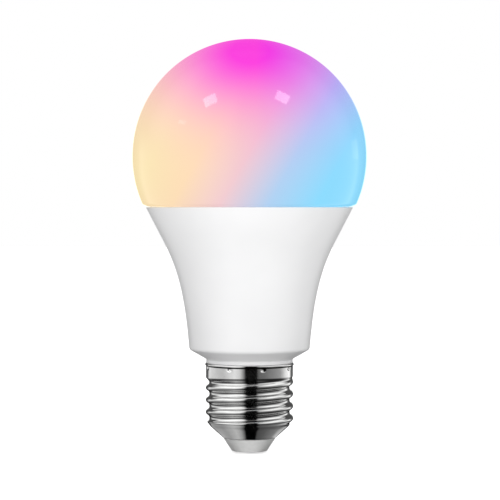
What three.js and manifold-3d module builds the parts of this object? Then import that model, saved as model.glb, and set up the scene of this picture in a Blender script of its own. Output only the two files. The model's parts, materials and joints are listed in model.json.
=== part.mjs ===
// A screw-cap smart light bulb, built the way the real one comes apart on a bench:
// snap-on diffuser globe, plastic-clad aluminium housing, LED board with its Wi-Fi module,
// mains driver board in an insulating sleeve, and an E27 screw cap with its centre contact.
// Millimetres, +Z up. The origin is the middle of the centre contact's flat face, +Z runs up
// the bulb's axis, and the driver board's component side faces -Y.
import * as THREE from "three";
import { mergeVertices } from "three/addons/utils/BufferGeometryUtils.js";
import Module from "manifold-3d";

// ---------------------------------------------------------------- driving dimensions
// Fits and fineness
const SLIP = 0.2; // clearance of a piece that slips into another
const SEAT = 0.05; // glue or grease line where one piece rests on another
const ROUND = 48; // facets round the large pieces that show
const MID_ROUND = 32; // facets round the large pieces inside, the insulator and the contact
const SMALL_ROUND = 12; // facets round screws and small cans

// E27 screw cap
const CAP_HEIGHT = 26.65; // contact face to the rim of the screw shell
const CREST_R = 13.12;
const THREAD_DEPTH = 1.1;
const PITCH = 3.629; // seven turns to the inch, right-handed
const BAND_STEP = 0.07; // the plain band above the thread is this much smaller than the crests
const SHELL_WALL = 0.35;
const THREAD_TOP_Z = 22.9; // where the first groove starts to sink into the plain band
const THREAD_RUN_IN = 2.4; // height over which it reaches full depth
const THREAD_RUN_OUT = 1.6; // height over which it dies away above the cone
const THREAD_PHASE_Z = 15.53; // a crest passes -X at this height
const CONE_FOOT_R = 8.0; // lower lip of the shell, where the insulator starts
const CONE_FOOT_Z = 4.3;
const CONE_SPREAD = 1.125; // radius gained for each millimetre of height
const DIMPLES = 8; // punch marks that lock the shell on the neck
const DIMPLE_R = 1.1;
const DIMPLE_DEPTH = 0.2;
const DIMPLE_BELOW_RIM = 1.8;
const FIRST_DIMPLE_DEG = -72;

// Insulator and centre contact
const INSULATOR_FOOT_R = 5.3;
const INSULATOR_LIFT = 0.2; // the contact stands this far below the insulator
const INSULATOR_TOP_Z = 7.3;
const CONTACT_R = 4.4;
const CONTACT_FLAT_R = 3.1;
const CONTACT_HEAD = 0.85;
const CONTACT_STEM_R = 1.3;
const CONTACT_STEM_TOP_Z = 6.7;

// Housing: white plastic outside, with a neck that the cap is pressed on
const COLLAR_HEIGHT = 1.1;
const COLLAR_STEP = 0.1; // the collar is this much smaller than the band under it
const CHAMFER_HEIGHT = 2.9;
const BODY_HEIGHT = 42.4; // lower edge of the flare to the rim
const BODY_FOOT_R = 18.0;
const BODY_RIM_R = 30.9;
const FLARE_RIM_DEG = 26.3; // lean of the flare at the rim and at the foot
const FLARE_FOOT_DEG = 4.4;
const FLARE_RIM_PULL = 15.15; // how far each lean carries into the curve
const FLARE_FOOT_PULL = 24.85;
const HOUSING_WALL = 1.3;
const RIM_LAND = 3.0; // width of the rim that the globe's lip rests on
const FLOOR_LEDGE = 1.4; // floor height above the lower edge of the flare
const NECK_WALL = 1.9;
const NECK_FOOT_Z = 11.9;

// Diffuser globe
const GLOBE_R = 35.0;
const GLOBE_WALL = 1.4;
const LIP_OVERHANG = 0.8; // the sphere reaches this far past the housing's rim
const LIP_ROUND = 1.4;
const SEAM_GAP = 0.2; // glue line between globe and housing
const SPIGOT_DEPTH = 1.7;
const SPIGOT_WALL = 1.4;
const SNAP_BEAD = 0.35;

// Heat sink cup, thermal pad and LED board
const CUP_WALL = 0.9;
const CUP_GAP = 0.3;
const FLANGE_BELOW_RIM = 3.9; // top of the cup's flange below the housing's rim
const FLANGE_THICK = 1.5;
const FLANGE_WIDTH = 6.4;
const PAD_THICK = 0.3;
const BOARD_THICK = 1.2;
const BOARD_MARGIN = 0.4; // LED board to the cup's wall

// LEDs
const WHITE_LEDS = 12; // warm and cool white take turns round the ring
const WHITE_LED = [2.8, 3.5, 0.75]; // radial, tangential, height
const WHITE_RING_INSET = 6.7; // ring to the board's edge
const RGB_LEDS = 4;
const RGB_LED = [5.0, 5.0, 1.4];
const RGB_RING_INSET = 6.5; // RGB ring inside the white ring

// Board screws
const SCREWS = 3;
const SCREW_HEAD_R = 2.2;
const SCREW_HEAD = 1.5;
const SCREW_R = 1.2;
const SCREW_LENGTH = 4.6;
const SCREW_HOLE_R = 1.5;

// Driver board and its sleeve
const SLEEVE_WALL = 0.5;
const SLEEVE_HEIGHT = 28.5;
const RAIL_REACH = 2.0;
const RAIL_THICK = 0.8;
const DRIVER_Y = 2.0; // component face of the driver board
const DRIVER_THICK = 1.2;
const DRIVER_BELOW_BOARD = 7.1; // top edge of the driver board below the LED board
const TONGUE_FOOT_Z = 14.9; // the narrow end of the driver board reaches into the neck
const TONGUE_TOP_ABOVE_FLOOR = 0.8;

// Mains wires
const LIVE_R = 0.6;
const NEUTRAL_R = 0.45;

// Wi-Fi module
const WIFI_WIDTH = 16;
const WIFI_HEIGHT = 19;
const WIFI_THICK = 0.8;
const WIFI_Y = -4.4; // its front face
const WIFI_ABOVE_BOARD = 8.9; // the aerial end stands this far above the LED board

// ---------------------------------------------------------------- derived levels and radii
const ROOT_R = CREST_R - THREAD_DEPTH;
const PLAIN_R = CREST_R - BAND_STEP;
const COLLAR_R = PLAIN_R - COLLAR_STEP;
const COLLAR_TOP_Z = CAP_HEIGHT + COLLAR_HEIGHT;
const FOOT_Z = COLLAR_TOP_Z + CHAMFER_HEIGHT; // lower edge of the flare
const RIM_Z = FOOT_Z + BODY_HEIGHT;
const FLOOR_Z = FOOT_Z + FLOOR_LEDGE;
const BORE_R = BODY_RIM_R - RIM_LAND;
const SEAM_Z = RIM_Z + SEAM_GAP;
const GLOBE_CENTRE_Z = SEAM_Z + Math.sqrt(GLOBE_R ** 2 - (BODY_RIM_R + LIP_OVERHANG) ** 2);
const SPIGOT_R = BORE_R - SLIP;
const SPIGOT_FOOT_Z = SEAM_Z - SPIGOT_DEPTH;
const CUP_RIM_Z = SPIGOT_FOOT_Z - SLIP;
const CUP_FOOT_Z = FLOOR_Z + SLIP;
const FLANGE_Z = RIM_Z - FLANGE_BELOW_RIM;
const PAD_Z = FLANGE_Z + SEAT;
const BOARD_Z = PAD_Z + PAD_THICK + SEAT;
const BOARD_TOP_Z = BOARD_Z + BOARD_THICK;
const NECK_PLAIN_R = PLAIN_R - SHELL_WALL - SLIP;
const NECK_R = ROOT_R - SHELL_WALL - 2 * SLIP;
const NECK_BORE_R = NECK_R - NECK_WALL;
const NOTCH_FLOOR_R = NECK_R - 2 * NEUTRAL_R - 1.5 * SLIP; // the neutral wire's channel
const NOTCH_WIRE_R = NECK_R - NEUTRAL_R - 0.75 * SLIP;
const DRIVER_TOP_Z = BOARD_Z - DRIVER_BELOW_BOARD;
const DRIVER_BACK_Y = DRIVER_Y + DRIVER_THICK;
const FULL_TURN = 2 * Math.PI;
const rad = THREE.MathUtils.degToRad;

// Radius of the housing's flare at height z, on a cubic curve from the rim to the foot.
const flare = new THREE.CubicBezierCurve(
  new THREE.Vector2(BODY_RIM_R, RIM_Z),
  new THREE.Vector2(
    BODY_RIM_R - FLARE_RIM_PULL * Math.sin(rad(FLARE_RIM_DEG)),
    RIM_Z - FLARE_RIM_PULL * Math.cos(rad(FLARE_RIM_DEG)),
  ),
  new THREE.Vector2(
    BODY_FOOT_R + FLARE_FOOT_PULL * Math.sin(rad(FLARE_FOOT_DEG)),
    FOOT_Z + FLARE_FOOT_PULL * Math.cos(rad(FLARE_FOOT_DEG)),
  ),
  new THREE.Vector2(BODY_FOOT_R, FOOT_Z),
);

function flareRadius(z) {
  let above = 0;
  let below = 1;
  for (let i = 0; i < 40; i++) {
    const middle = (above + below) / 2;
    if (flare.getPoint(middle).y > z) above = middle;
    else below = middle;
  }
  return flare.getPoint(above).x;
}

const housingInner = (z) => Math.min(BORE_R, flareRadius(z) - HOUSING_WALL);
const cupOuter = (z) => housingInner(z) - CUP_GAP;
const cupInner = (z) => cupOuter(z) - CUP_WALL;
const FLANGE_INNER_R = cupInner(FLANGE_Z) - FLANGE_WIDTH;
const BOARD_R = cupInner(BOARD_Z) - BOARD_MARGIN;
const SCREW_RING_R = (FLANGE_INNER_R + cupInner(FLANGE_Z)) / 2;
const WHITE_RING_R = BOARD_R - WHITE_RING_INSET;
const RGB_RING_R = WHITE_RING_R - RGB_RING_INSET;
const SLEEVE_R = cupInner(CUP_FOOT_Z) - 3 * SLIP;
const SLEEVE_BORE_R = SLEEVE_R - SLEEVE_WALL;
const DRIVER_HALF_WIDTH = Math.sqrt(SLEEVE_BORE_R ** 2 - DRIVER_BACK_Y ** 2) - 2 * SLIP;

// ---------------------------------------------------------------- materials
function finish(color, roughness, metalness = 0) {
  return new THREE.MeshStandardMaterial({ color, roughness, metalness });
}

const diffuserPlastic = finish("#f3c3dc", 0.25);
const housingPlastic = finish("#f2f2f2", 0.35);
const sealantRubber = finish("#e8e8e6", 0.6);
const aluminium = finish("#b9bcbf", 0.4, 0.9);
const padGrey = finish("#8d9396", 0.8);
const boardWhite = finish("#f4f4f0", 0.45);
const boardGreen = finish("#1f6b3c", 0.45);
const nickel = finish("#c9cac8", 0.12, 1);
const insulatorPlastic = finish("#cfcfcc", 0.5);
const warmPhosphor = finish("#f5b84a", 0.4);
const coolPhosphor = finish("#f2e27a", 0.4);
const rgbPackage = finish("#eeeeec", 0.35);
const steel = finish("#9a9da1", 0.35, 0.9);
const ferrite = finish("#3a3b3d", 0.7);
const bobbinPlastic = finish("#20211f", 0.5);
const tapeYellow = finish("#e3b52c", 0.45);
const copper = finish("#b5652f", 0.3, 0.9);
const canSleeve = finish("#2a3a5c", 0.4);
const chipBlack = finish("#18191a", 0.55);
const resistorGreen = finish("#5f8f6a", 0.5);
const discBlue = finish("#2d63b8", 0.4);
const wireRed = finish("#b8261f", 0.45);
const wireBlack = finish("#202020", 0.45);
const sleevePlastic = finish("#e9e6dc", 0.5);

// ---------------------------------------------------------------- making and joining solids
const wasm = await Module();
wasm.setup();

// A closed three.js geometry as a manifold-3d solid, for joining and cutting.
function solid(geometry) {
  const bare = geometry.clone();
  bare.deleteAttribute("normal");
  bare.deleteAttribute("uv");
  const merged = mergeVertices(bare, 1e-4);
  return new wasm.Manifold(
    new wasm.Mesh({
      numProp: 3,
      vertProperties: merged.attributes.position.array,
      triVerts: new Uint32Array(merged.index.array),
    }),
  );
}

function geometryOf(made) {
  const mesh = made.getMesh();
  const geometry = new THREE.BufferGeometry();
  geometry.setAttribute("position", new THREE.BufferAttribute(mesh.vertProperties, 3));
  geometry.setIndex(new THREE.BufferAttribute(mesh.triVerts, 1));
  return geometry;
}

function join(...geometries) {
  return geometryOf(geometries.map(solid).reduce((all, one) => all.add(one)));
}

function cut(geometry, ...tools) {
  return geometryOf(tools.map(solid).reduce((left, tool) => left.subtract(tool), solid(geometry)));
}

// A profile of [radius, height] points turned round Z. It runs anticlockwise with the radius
// to the right and the height up, and starts and ends on the axis or closes on itself.
function turned(profile, facets = ROUND) {
  const points = profile.map(([r, z]) => new THREE.Vector2(r, z));
  if (profile[0][0] > 0) points.push(points[0].clone());
  return new THREE.LatheGeometry(points, facets).rotateX(Math.PI / 2);
}

// A block from its lowest to its highest corner.
function block([x0, y0, z0], [x1, y1, z1]) {
  const box = new THREE.BoxGeometry(x1 - x0, y1 - y0, z1 - z0);
  return box.translate((x0 + x1) / 2, (y0 + y1) / 2, (z0 + z1) / 2);
}

// A rod along Z.
function rod(radius, z0, z1, x = 0, y = 0, facets = SMALL_ROUND) {
  const cylinder = new THREE.CylinderGeometry(radius, radius, z1 - z0, facets);
  return cylinder.rotateX(Math.PI / 2).translate(x, y, (z0 + z1) / 2);
}

// A flat outline in XY, raised from z0 to z1.
function plate(shape, z0, z1, curveSegments) {
  const options = { depth: z1 - z0, bevelEnabled: false, curveSegments };
  return new THREE.ExtrudeGeometry(shape, options).translate(0, 0, z0);
}

// A round wire along a smooth route of [x, y, z] points.
function wire(radius, points, steps) {
  const route = new THREE.CatmullRomCurve3(points.map((p) => new THREE.Vector3(...p)));
  const section = new THREE.Shape();
  for (let i = 0; i < 8; i++) {
    const angle = (i / 8) * FULL_TURN;
    const at = [radius * Math.cos(angle), radius * Math.sin(angle)];
    if (i === 0) section.moveTo(...at);
    else section.lineTo(...at);
  }
  section.closePath();
  return new THREE.ExtrudeGeometry(section, { steps, extrudePath: route });
}

const bulb = new THREE.Group();

function add(name, geometry, material) {
  const mesh = new THREE.Mesh(geometry, material);
  mesh.name = name;
  bulb.add(mesh);
  return mesh;
}

// Evenly spaced angles round the axis, in radians.
function around(count, firstDeg, visit) {
  for (let i = 0; i < count; i++) visit(rad(firstDeg) + (i / count) * FULL_TURN, i);
}

// Heights from z0 to z1 in so many equal steps, both ends included.
function heights(z0, z1, steps) {
  return Array.from({ length: steps + 1 }, (_, i) => z0 + ((z1 - z0) * i) / steps);
}

// ---------------------------------------------------------------- screw cap
// Rolled thread: arcs of one radius make the crests and the roots, and meet a quarter turn apart.
const THREAD_SAG = THREAD_DEPTH / 2;
const THREAD_ARC = ((PITCH / 4) ** 2 + THREAD_SAG ** 2) / THREAD_DEPTH;

function threadRadius(angle, z) {
  const turn = (z - THREAD_PHASE_Z) / PITCH - (angle - Math.PI) / FULL_TURN;
  const fromCrest = Math.abs(turn - Math.round(turn)) * PITCH;
  if (fromCrest < PITCH / 4) {
    return CREST_R - THREAD_ARC + Math.sqrt(THREAD_ARC ** 2 - fromCrest ** 2);
  }
  return ROOT_R + THREAD_ARC - Math.sqrt(THREAD_ARC ** 2 - (PITCH / 2 - fromCrest) ** 2);
}

const coneRadius = (z) => CONE_FOOT_R + (z - CONE_FOOT_Z) * CONE_SPREAD;
const THREAD_FOOT_Z = CONE_FOOT_Z + (ROOT_R - CONE_FOOT_R) / CONE_SPREAD;
const THREAD_MIDDLE_Z = (THREAD_FOOT_Z + THREAD_TOP_Z) / 2;

// Outside of the shell: plain band, thread that sinks in below it and dies away above the
// cone at its foot.
function shellRadius(angle, z) {
  const thread = threadRadius(angle, z);
  const sunk = THREE.MathUtils.smoothstep(THREAD_TOP_Z - z, 0, THREAD_RUN_IN);
  const raised = THREE.MathUtils.smoothstep(z - THREAD_FOOT_Z, 0, THREAD_RUN_OUT);
  const rolled = z > THREAD_MIDDLE_Z
    ? PLAIN_R + (thread - PLAIN_R) * sunk
    : ROOT_R + (thread - ROOT_R) * raised;
  return Math.min(rolled, coneRadius(z));
}

// The screw shell is drawn from thin metal, so its inside repeats the outside one wall deeper.
function screwShellBlank() {
  const rimZ = CAP_HEIGHT - SEAT;
  const rows = [
    ...heights(CONE_FOOT_Z, THREAD_FOOT_Z, 2),
    ...heights(THREAD_FOOT_Z, THREAD_TOP_Z, 24).slice(1),
    rimZ,
  ];
  const slantWall = SHELL_WALL * Math.hypot(1, CONE_SPREAD);
  const ring = (z, inset) => {
    const points = [];
    around(ROUND, 0, (angle) => {
      const outer = shellRadius(angle, z);
      const deep = Math.min(outer - SHELL_WALL, coneRadius(z) - slantWall);
      const r = inset ? deep : outer;
      points.push(r * Math.cos(angle), r * Math.sin(angle), z);
    });
    return points;
  };
  const rings = [...rows.map((z) => ring(z, false)), ...rows.reverse().map((z) => ring(z, true))];
  const faces = [];
  rings.forEach((_, i) => {
    const here = i * ROUND;
    const next = ((i + 1) % rings.length) * ROUND;
    for (let j = 0; j < ROUND; j++) {
      const k = (j + 1) % ROUND;
      faces.push(here + j, here + k, next + k, here + j, next + k, next + j);
    }
  });
  const geometry = new THREE.BufferGeometry();
  geometry.setAttribute("position", new THREE.Float32BufferAttribute(rings.flat(), 3));
  geometry.setIndex(faces);
  return geometry;
}

// Balls that press the punch marks into the plain band.
function dimpleTools() {
  const balls = [];
  around(DIMPLES, FIRST_DIMPLE_DEG, (angle) => {
    const r = PLAIN_R + DIMPLE_R - DIMPLE_DEPTH;
    const ball = new THREE.SphereGeometry(DIMPLE_R, 12, 8);
    const z = CAP_HEIGHT - DIMPLE_BELOW_RIM;
    balls.push(ball.translate(r * Math.cos(angle), r * Math.sin(angle), z));
  });
  return balls;
}

add("screw_shell", cut(screwShellBlank(), ...dimpleTools()), nickel);

// The insulator plugs the foot of the shell: a visible cone below the lip, a flange above it.
function baseInsulator() {
  const footZ = INSULATOR_LIFT;
  const lipInner = CONE_FOOT_R - SHELL_WALL * Math.hypot(1, CONE_SPREAD);
  const neckR = lipInner - SLIP;
  const shoulderZ = CONE_FOOT_Z - SEAT - 0.1;
  const flangeZ = CONE_FOOT_Z + 1.5;
  const flangeR = coneRadius(flangeZ) - SHELL_WALL * Math.hypot(1, CONE_SPREAD) - SLIP;
  const holeR = CONTACT_STEM_R + SLIP / 2;
  const recessR = CONTACT_R + SLIP / 2;
  const recessZ = CONTACT_HEAD + SEAT;
  return turned([
    [holeR, recessZ],
    [recessR, recessZ],
    [recessR, footZ],
    [INSULATOR_FOOT_R - 0.4, footZ],
    [INSULATOR_FOOT_R - 0.1, footZ + 0.12],
    [INSULATOR_FOOT_R + 0.1, footZ + 0.4],
    [CONE_FOOT_R - 0.1, shoulderZ],
    [neckR, shoulderZ],
    [neckR, CONE_FOOT_Z + 0.4],
    [flangeR, flangeZ],
    [flangeR, INSULATOR_TOP_Z],
    [holeR, INSULATOR_TOP_Z],
  ], MID_ROUND);
}

add("base_insulator", baseInsulator(), insulatorPlastic);

// The centre contact is a headed pin: a shallow domed disc with a flat middle, and its stem.
add("centre_contact", turned([
  [0, 0],
  [CONTACT_FLAT_R, 0],
  [(CONTACT_FLAT_R + CONTACT_R) / 2, 0.08],
  [CONTACT_R, 0.35],
  [CONTACT_R, CONTACT_HEAD],
  [CONTACT_STEM_R, CONTACT_HEAD],
  [CONTACT_STEM_R, CONTACT_STEM_TOP_Z],
  [0, CONTACT_STEM_TOP_Z],
], MID_ROUND), nickel);

// ---------------------------------------------------------------- housing
// White plastic shell: flared body, chamfer under it, collar, and the neck inside the cap.
function housingShell() {
  const outside = heights(FOOT_Z, RIM_Z, 14).map((z) => [flareRadius(z), z]);
  const boreFootZ = CUP_RIM_Z - 1.6;
  const inside = heights(FLOOR_Z, boreFootZ, 7).map((z) => [housingInner(z), z]).reverse();
  const beadZ = SEAM_Z - SPIGOT_DEPTH / 2;
  const grooveR = BODY_RIM_R - 1.4;
  const profile = [
    [NECK_BORE_R, NECK_FOOT_Z],
    [NECK_R, NECK_FOOT_Z],
    [NECK_R, THREAD_TOP_Z - 0.8],
    [NECK_PLAIN_R, THREAD_TOP_Z],
    [NECK_PLAIN_R, CAP_HEIGHT],
    [COLLAR_R, CAP_HEIGHT],
    [COLLAR_R, COLLAR_TOP_Z],
    ...outside,
    [grooveR + 0.5, RIM_Z],
    [grooveR + 0.5, RIM_Z - 0.5],
    [grooveR - 0.5, RIM_Z - 0.5],
    [grooveR - 0.5, RIM_Z],
    [BORE_R, RIM_Z],
    [BORE_R, beadZ + SNAP_BEAD + 0.1],
    [BORE_R + SNAP_BEAD, beadZ],
    [BORE_R, beadZ - SNAP_BEAD - 0.1],
    ...inside,
    [SLEEVE_BORE_R - 0.6, FLOOR_Z],
    [NECK_BORE_R, COLLAR_TOP_Z + NECK_WALL],
  ];
  const notch = block(
    [-NECK_PLAIN_R, -NEUTRAL_R - SLIP, NECK_FOOT_Z - 1],
    [-NOTCH_FLOOR_R, NEUTRAL_R + SLIP, THREAD_TOP_Z - 1.2],
  );
  return cut(turned(profile), notch);
}

add("housing_shell", housingShell(), housingPlastic);

// Tools for the holes that the board screws pass through.
function screwHoles(radius) {
  const holes = [];
  around(SCREWS, 90, (angle) => {
    const at = [SCREW_RING_R * Math.cos(angle), SCREW_RING_R * Math.sin(angle)];
    holes.push(rod(radius, FLANGE_Z - FLANGE_THICK - 1, BOARD_TOP_Z + 1, ...at, 10));
  });
  return holes;
}

// Aluminium cup that lines the housing and carries the LED board on its flange.
function heatSinkCup() {
  const outside = heights(CUP_FOOT_Z, CUP_RIM_Z, 7).map((z) => [cupOuter(z), z]);
  const underZ = FLANGE_Z - FLANGE_THICK;
  const inside = heights(CUP_FOOT_Z, underZ, 5).map((z) => [cupInner(z), z]).reverse();
  const ring = turned([
    ...outside,
    [cupInner(CUP_RIM_Z), CUP_RIM_Z],
    [cupInner(FLANGE_Z), FLANGE_Z],
    [FLANGE_INNER_R, FLANGE_Z],
    [FLANGE_INNER_R, underZ],
    ...inside,
  ], MID_ROUND);
  return cut(ring, ...screwHoles(SCREW_R + 0.1));
}

add("heat_sink_cup", heatSinkCup(), aluminium);

// ---------------------------------------------------------------- globe
// One blown sphere with its lower lip turned in to the rim and a spigot that snaps into the bore.
function diffuserGlobe() {
  const innerR = GLOBE_R - GLOBE_WALL;
  const outside = [];
  const inside = [];
  const lipTopZ = SEAM_Z + LIP_ROUND;
  const innerFootZ = SEAM_Z + GLOBE_WALL;
  const lowest = Math.asin((lipTopZ - GLOBE_CENTRE_Z) / GLOBE_R);
  const innerLowest = Math.asin((innerFootZ - GLOBE_CENTRE_Z) / innerR);
  const arcSteps = 16;
  for (let i = 0; i <= arcSteps; i++) {
    const a = lowest + ((Math.PI / 2 - lowest) * i) / arcSteps;
    outside.push([i === arcSteps ? 0 : GLOBE_R * Math.cos(a), GLOBE_CENTRE_Z + GLOBE_R * Math.sin(a)]);
    const b = Math.PI / 2 + ((innerLowest - Math.PI / 2) * i) / arcSteps;
    inside.push([i === 0 ? 0 : innerR * Math.cos(b), GLOBE_CENTRE_Z + innerR * Math.sin(b)]);
  }
  const beadZ = SEAM_Z - SPIGOT_DEPTH / 2;
  const bore = SPIGOT_R - SPIGOT_WALL;
  const lip = [
    [bore, innerFootZ],
    [bore, SPIGOT_FOOT_Z],
    [SPIGOT_R, SPIGOT_FOOT_Z],
    [SPIGOT_R, beadZ - SNAP_BEAD],
    [SPIGOT_R + SNAP_BEAD - 0.05, beadZ],
    [SPIGOT_R, beadZ + SNAP_BEAD],
    [SPIGOT_R, SEAM_Z],
    [BODY_RIM_R + 0.1, SEAM_Z],
    [(BODY_RIM_R + outside[0][0]) / 2 + 0.3, SEAM_Z + LIP_ROUND * 0.45],
  ];
  return turned([...inside, ...lip, ...outside]);
}

add("diffuser_globe", diffuserGlobe(), diffuserPlastic);

// Bead of silicone in the rim's groove, which glues the globe down.
const GROOVE_R = BODY_RIM_R - 1.4;
add("globe_sealant", turned([
  [GROOVE_R - 0.4, RIM_Z - 0.45],
  [GROOVE_R + 0.4, RIM_Z - 0.45],
  [GROOVE_R + 0.4, SEAM_Z - SEAT],
  [GROOVE_R - 0.4, SEAM_Z - SEAT],
]), sealantRubber);

// ---------------------------------------------------------------- LED board
const PINS = 4;
const PIN_PITCH = 2.54;
const PIN_SIDE = 0.64;
const HEADER_DEEP = 2.5;
const PIN_Y = DRIVER_Y - SEAT - HEADER_DEEP / 2;
const pinX = (i) => (i - (PINS - 1) / 2) * PIN_PITCH;

function ledBoard() {
  const slot = block(
    [-WIFI_WIDTH / 2 - SLIP, WIFI_Y - SLIP, BOARD_Z - 1],
    [WIFI_WIDTH / 2 + SLIP, WIFI_Y + WIFI_THICK + SLIP, BOARD_TOP_Z + 1],
  );
  const half = PIN_SIDE / 2 + 0.15;
  const pinHoles = Array.from({ length: PINS }, (_, i) => block(
    [pinX(i) - half, PIN_Y - half, BOARD_Z - 1],
    [pinX(i) + half, PIN_Y + half, BOARD_TOP_Z + 1],
  ));
  const round = rod(BOARD_R, BOARD_Z, BOARD_TOP_Z, 0, 0, MID_ROUND);
  return cut(round, slot, ...pinHoles, ...screwHoles(SCREW_HOLE_R));
}

add("led_board", ledBoard(), boardWhite);

function thermalPad() {
  const ring = turned([
    [FLANGE_INNER_R + 0.3, PAD_Z],
    [BOARD_R - 0.3, PAD_Z],
    [BOARD_R - 0.3, PAD_Z + PAD_THICK],
    [FLANGE_INNER_R + 0.3, PAD_Z + PAD_THICK],
  ], MID_ROUND);
  return cut(ring, ...screwHoles(SCREW_HOLE_R));
}

add("thermal_pad", thermalPad(), padGrey);

// A surface-mount LED: white package with a well in its top, facing +Z at the origin.
function ledPackage([deep, wide, high], well) {
  const body = block([-deep / 2, -wide / 2, 0], [deep / 2, wide / 2, high]);
  return cut(body, well);
}

function placeOnRing(mesh, ringR, angle) {
  mesh.position.set(ringR * Math.cos(angle), ringR * Math.sin(angle), BOARD_TOP_Z + SEAT);
  mesh.rotation.z = angle;
}

around(WHITE_LEDS, 15, (angle, i) => {
  const warm = i % 2 === 0;
  const [deep, wide, high] = WHITE_LED;
  const well = block([-deep * 0.38, -wide * 0.4, high - 0.15], [deep * 0.38, wide * 0.4, high + 1]);
  const name = `${warm ? "warm" : "cool"}_led_${Math.floor(i / 2) + 1}`;
  const led = add(name, ledPackage(WHITE_LED, well), warm ? warmPhosphor : coolPhosphor);
  placeOnRing(led, WHITE_RING_R, angle);
});

around(RGB_LEDS, 0, (angle, i) => {
  const well = rod(RGB_LED[0] * 0.4, RGB_LED[2] - 0.3, RGB_LED[2] + 1, 0, 0, 12);
  placeOnRing(add(`rgb_led_${i + 1}`, ledPackage(RGB_LED, well), rgbPackage), RGB_RING_R, angle);
});

// Pan-head screws that pull the board down on the cup's flange.
function boardScrew() {
  const under = BOARD_TOP_Z + SEAT;
  const screw = turned([
    [0, under - SCREW_LENGTH],
    [SCREW_R * 0.5, under - SCREW_LENGTH],
    [SCREW_R, under - SCREW_LENGTH + 0.8],
    [SCREW_R, under],
    [SCREW_HEAD_R, under],
    [SCREW_HEAD_R, under + SCREW_HEAD * 0.5],
    [SCREW_HEAD_R * 0.7, under + SCREW_HEAD],
    [0, under + SCREW_HEAD],
  ], SMALL_ROUND);
  const arm = SCREW_HEAD_R * 0.6;
  const slotZ = under + SCREW_HEAD * 0.4;
  return cut(
    screw,
    block([-arm, -0.25, slotZ], [arm, 0.25, under + 3]),
    block([-0.25, -arm, slotZ], [0.25, arm, under + 3]),
  );
}

around(SCREWS, 90, (angle, i) => {
  const screw = add(`board_screw_${i + 1}`, boardScrew(), steel);
  screw.position.set(SCREW_RING_R * Math.cos(angle), SCREW_RING_R * Math.sin(angle), 0);
});

// ---------------------------------------------------------------- Wi-Fi module
// It stands in the LED board's slot with its shielded radio below and its aerial above.
const WIFI_TOP_Z = BOARD_TOP_Z + WIFI_ABOVE_BOARD;
const WIFI_FOOT_Z = WIFI_TOP_Z - WIFI_HEIGHT;

add("wifi_board", block(
  [-WIFI_WIDTH / 2, WIFI_Y, WIFI_FOOT_Z],
  [WIFI_WIDTH / 2, WIFI_Y + WIFI_THICK, WIFI_TOP_Z],
), boardGreen);

const SHIELD_WIDTH = 11;
const SHIELD_DEEP = 1.8;
add("wifi_shield", block(
  [-SHIELD_WIDTH / 2, WIFI_Y - SEAT - SHIELD_DEEP, WIFI_FOOT_Z + 0.6],
  [SHIELD_WIDTH / 2, WIFI_Y - SEAT, BOARD_Z - 0.6],
), steel);

// A meandering track: equal up-and-down legs joined at alternate ends.
function aerialTrack() {
  const legs = 7;
  const track = 0.5;
  const pitch = 2.0;
  const legTop = WIFI_TOP_Z - 0.8;
  const legFoot = WIFI_TOP_Z - 6.2;
  const front = WIFI_Y - SEAT - 0.15;
  const back = WIFI_Y - SEAT;
  const pieces = [];
  for (let i = 0; i < legs; i++) {
    const x = (i - (legs - 1) / 2) * pitch;
    pieces.push(block([x - track / 2, front, legFoot], [x + track / 2, back, legTop]));
    if (i < legs - 1) {
      const z = i % 2 === 0 ? legTop - track : legFoot;
      pieces.push(block([x, front, z], [x + pitch, back, z + track]));
    }
  }
  return join(...pieces);
}

add("wifi_aerial", aerialTrack(), copper);

// ---------------------------------------------------------------- driver board and sleeve
const RAIL_X = DRIVER_HALF_WIDTH - RAIL_REACH + 0.6;

// Insulating sleeve: a tube on the housing's floor, with rails that hold the board's edges.
function driverSleeve() {
  const footZ = FLOOR_Z + SEAT;
  const topZ = footZ + SLEEVE_HEIGHT;
  const tube = turned([
    [SLEEVE_BORE_R, footZ],
    [SLEEVE_R, footZ],
    [SLEEVE_R, topZ],
    [SLEEVE_BORE_R, topZ],
  ], MID_ROUND);
  const rails = [];
  for (const side of [-1, 1]) {
    for (const y of [DRIVER_Y - SLIP - RAIL_THICK, DRIVER_BACK_Y + SLIP]) {
      const deepest = Math.max(Math.abs(y), Math.abs(y + RAIL_THICK));
      const wallX = Math.sqrt(SLEEVE_BORE_R ** 2 - deepest ** 2) + 0.25 * SLEEVE_WALL;
      const x = [side * RAIL_X, side * wallX].sort((p, q) => p - q);
      rails.push(block([x[0], y, footZ + 0.5], [x[1], y + RAIL_THICK, topZ - 1]));
    }
  }
  return join(tube, ...rails);
}

add("driver_sleeve", driverSleeve(), sleevePlastic);

const TONGUE_HALF_WIDTH = Math.sqrt(NECK_BORE_R ** 2 - DRIVER_BACK_Y ** 2) - 2 * SLIP;
const TONGUE_TOP_Z = FLOOR_Z + TONGUE_TOP_ABOVE_FLOOR;

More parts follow.
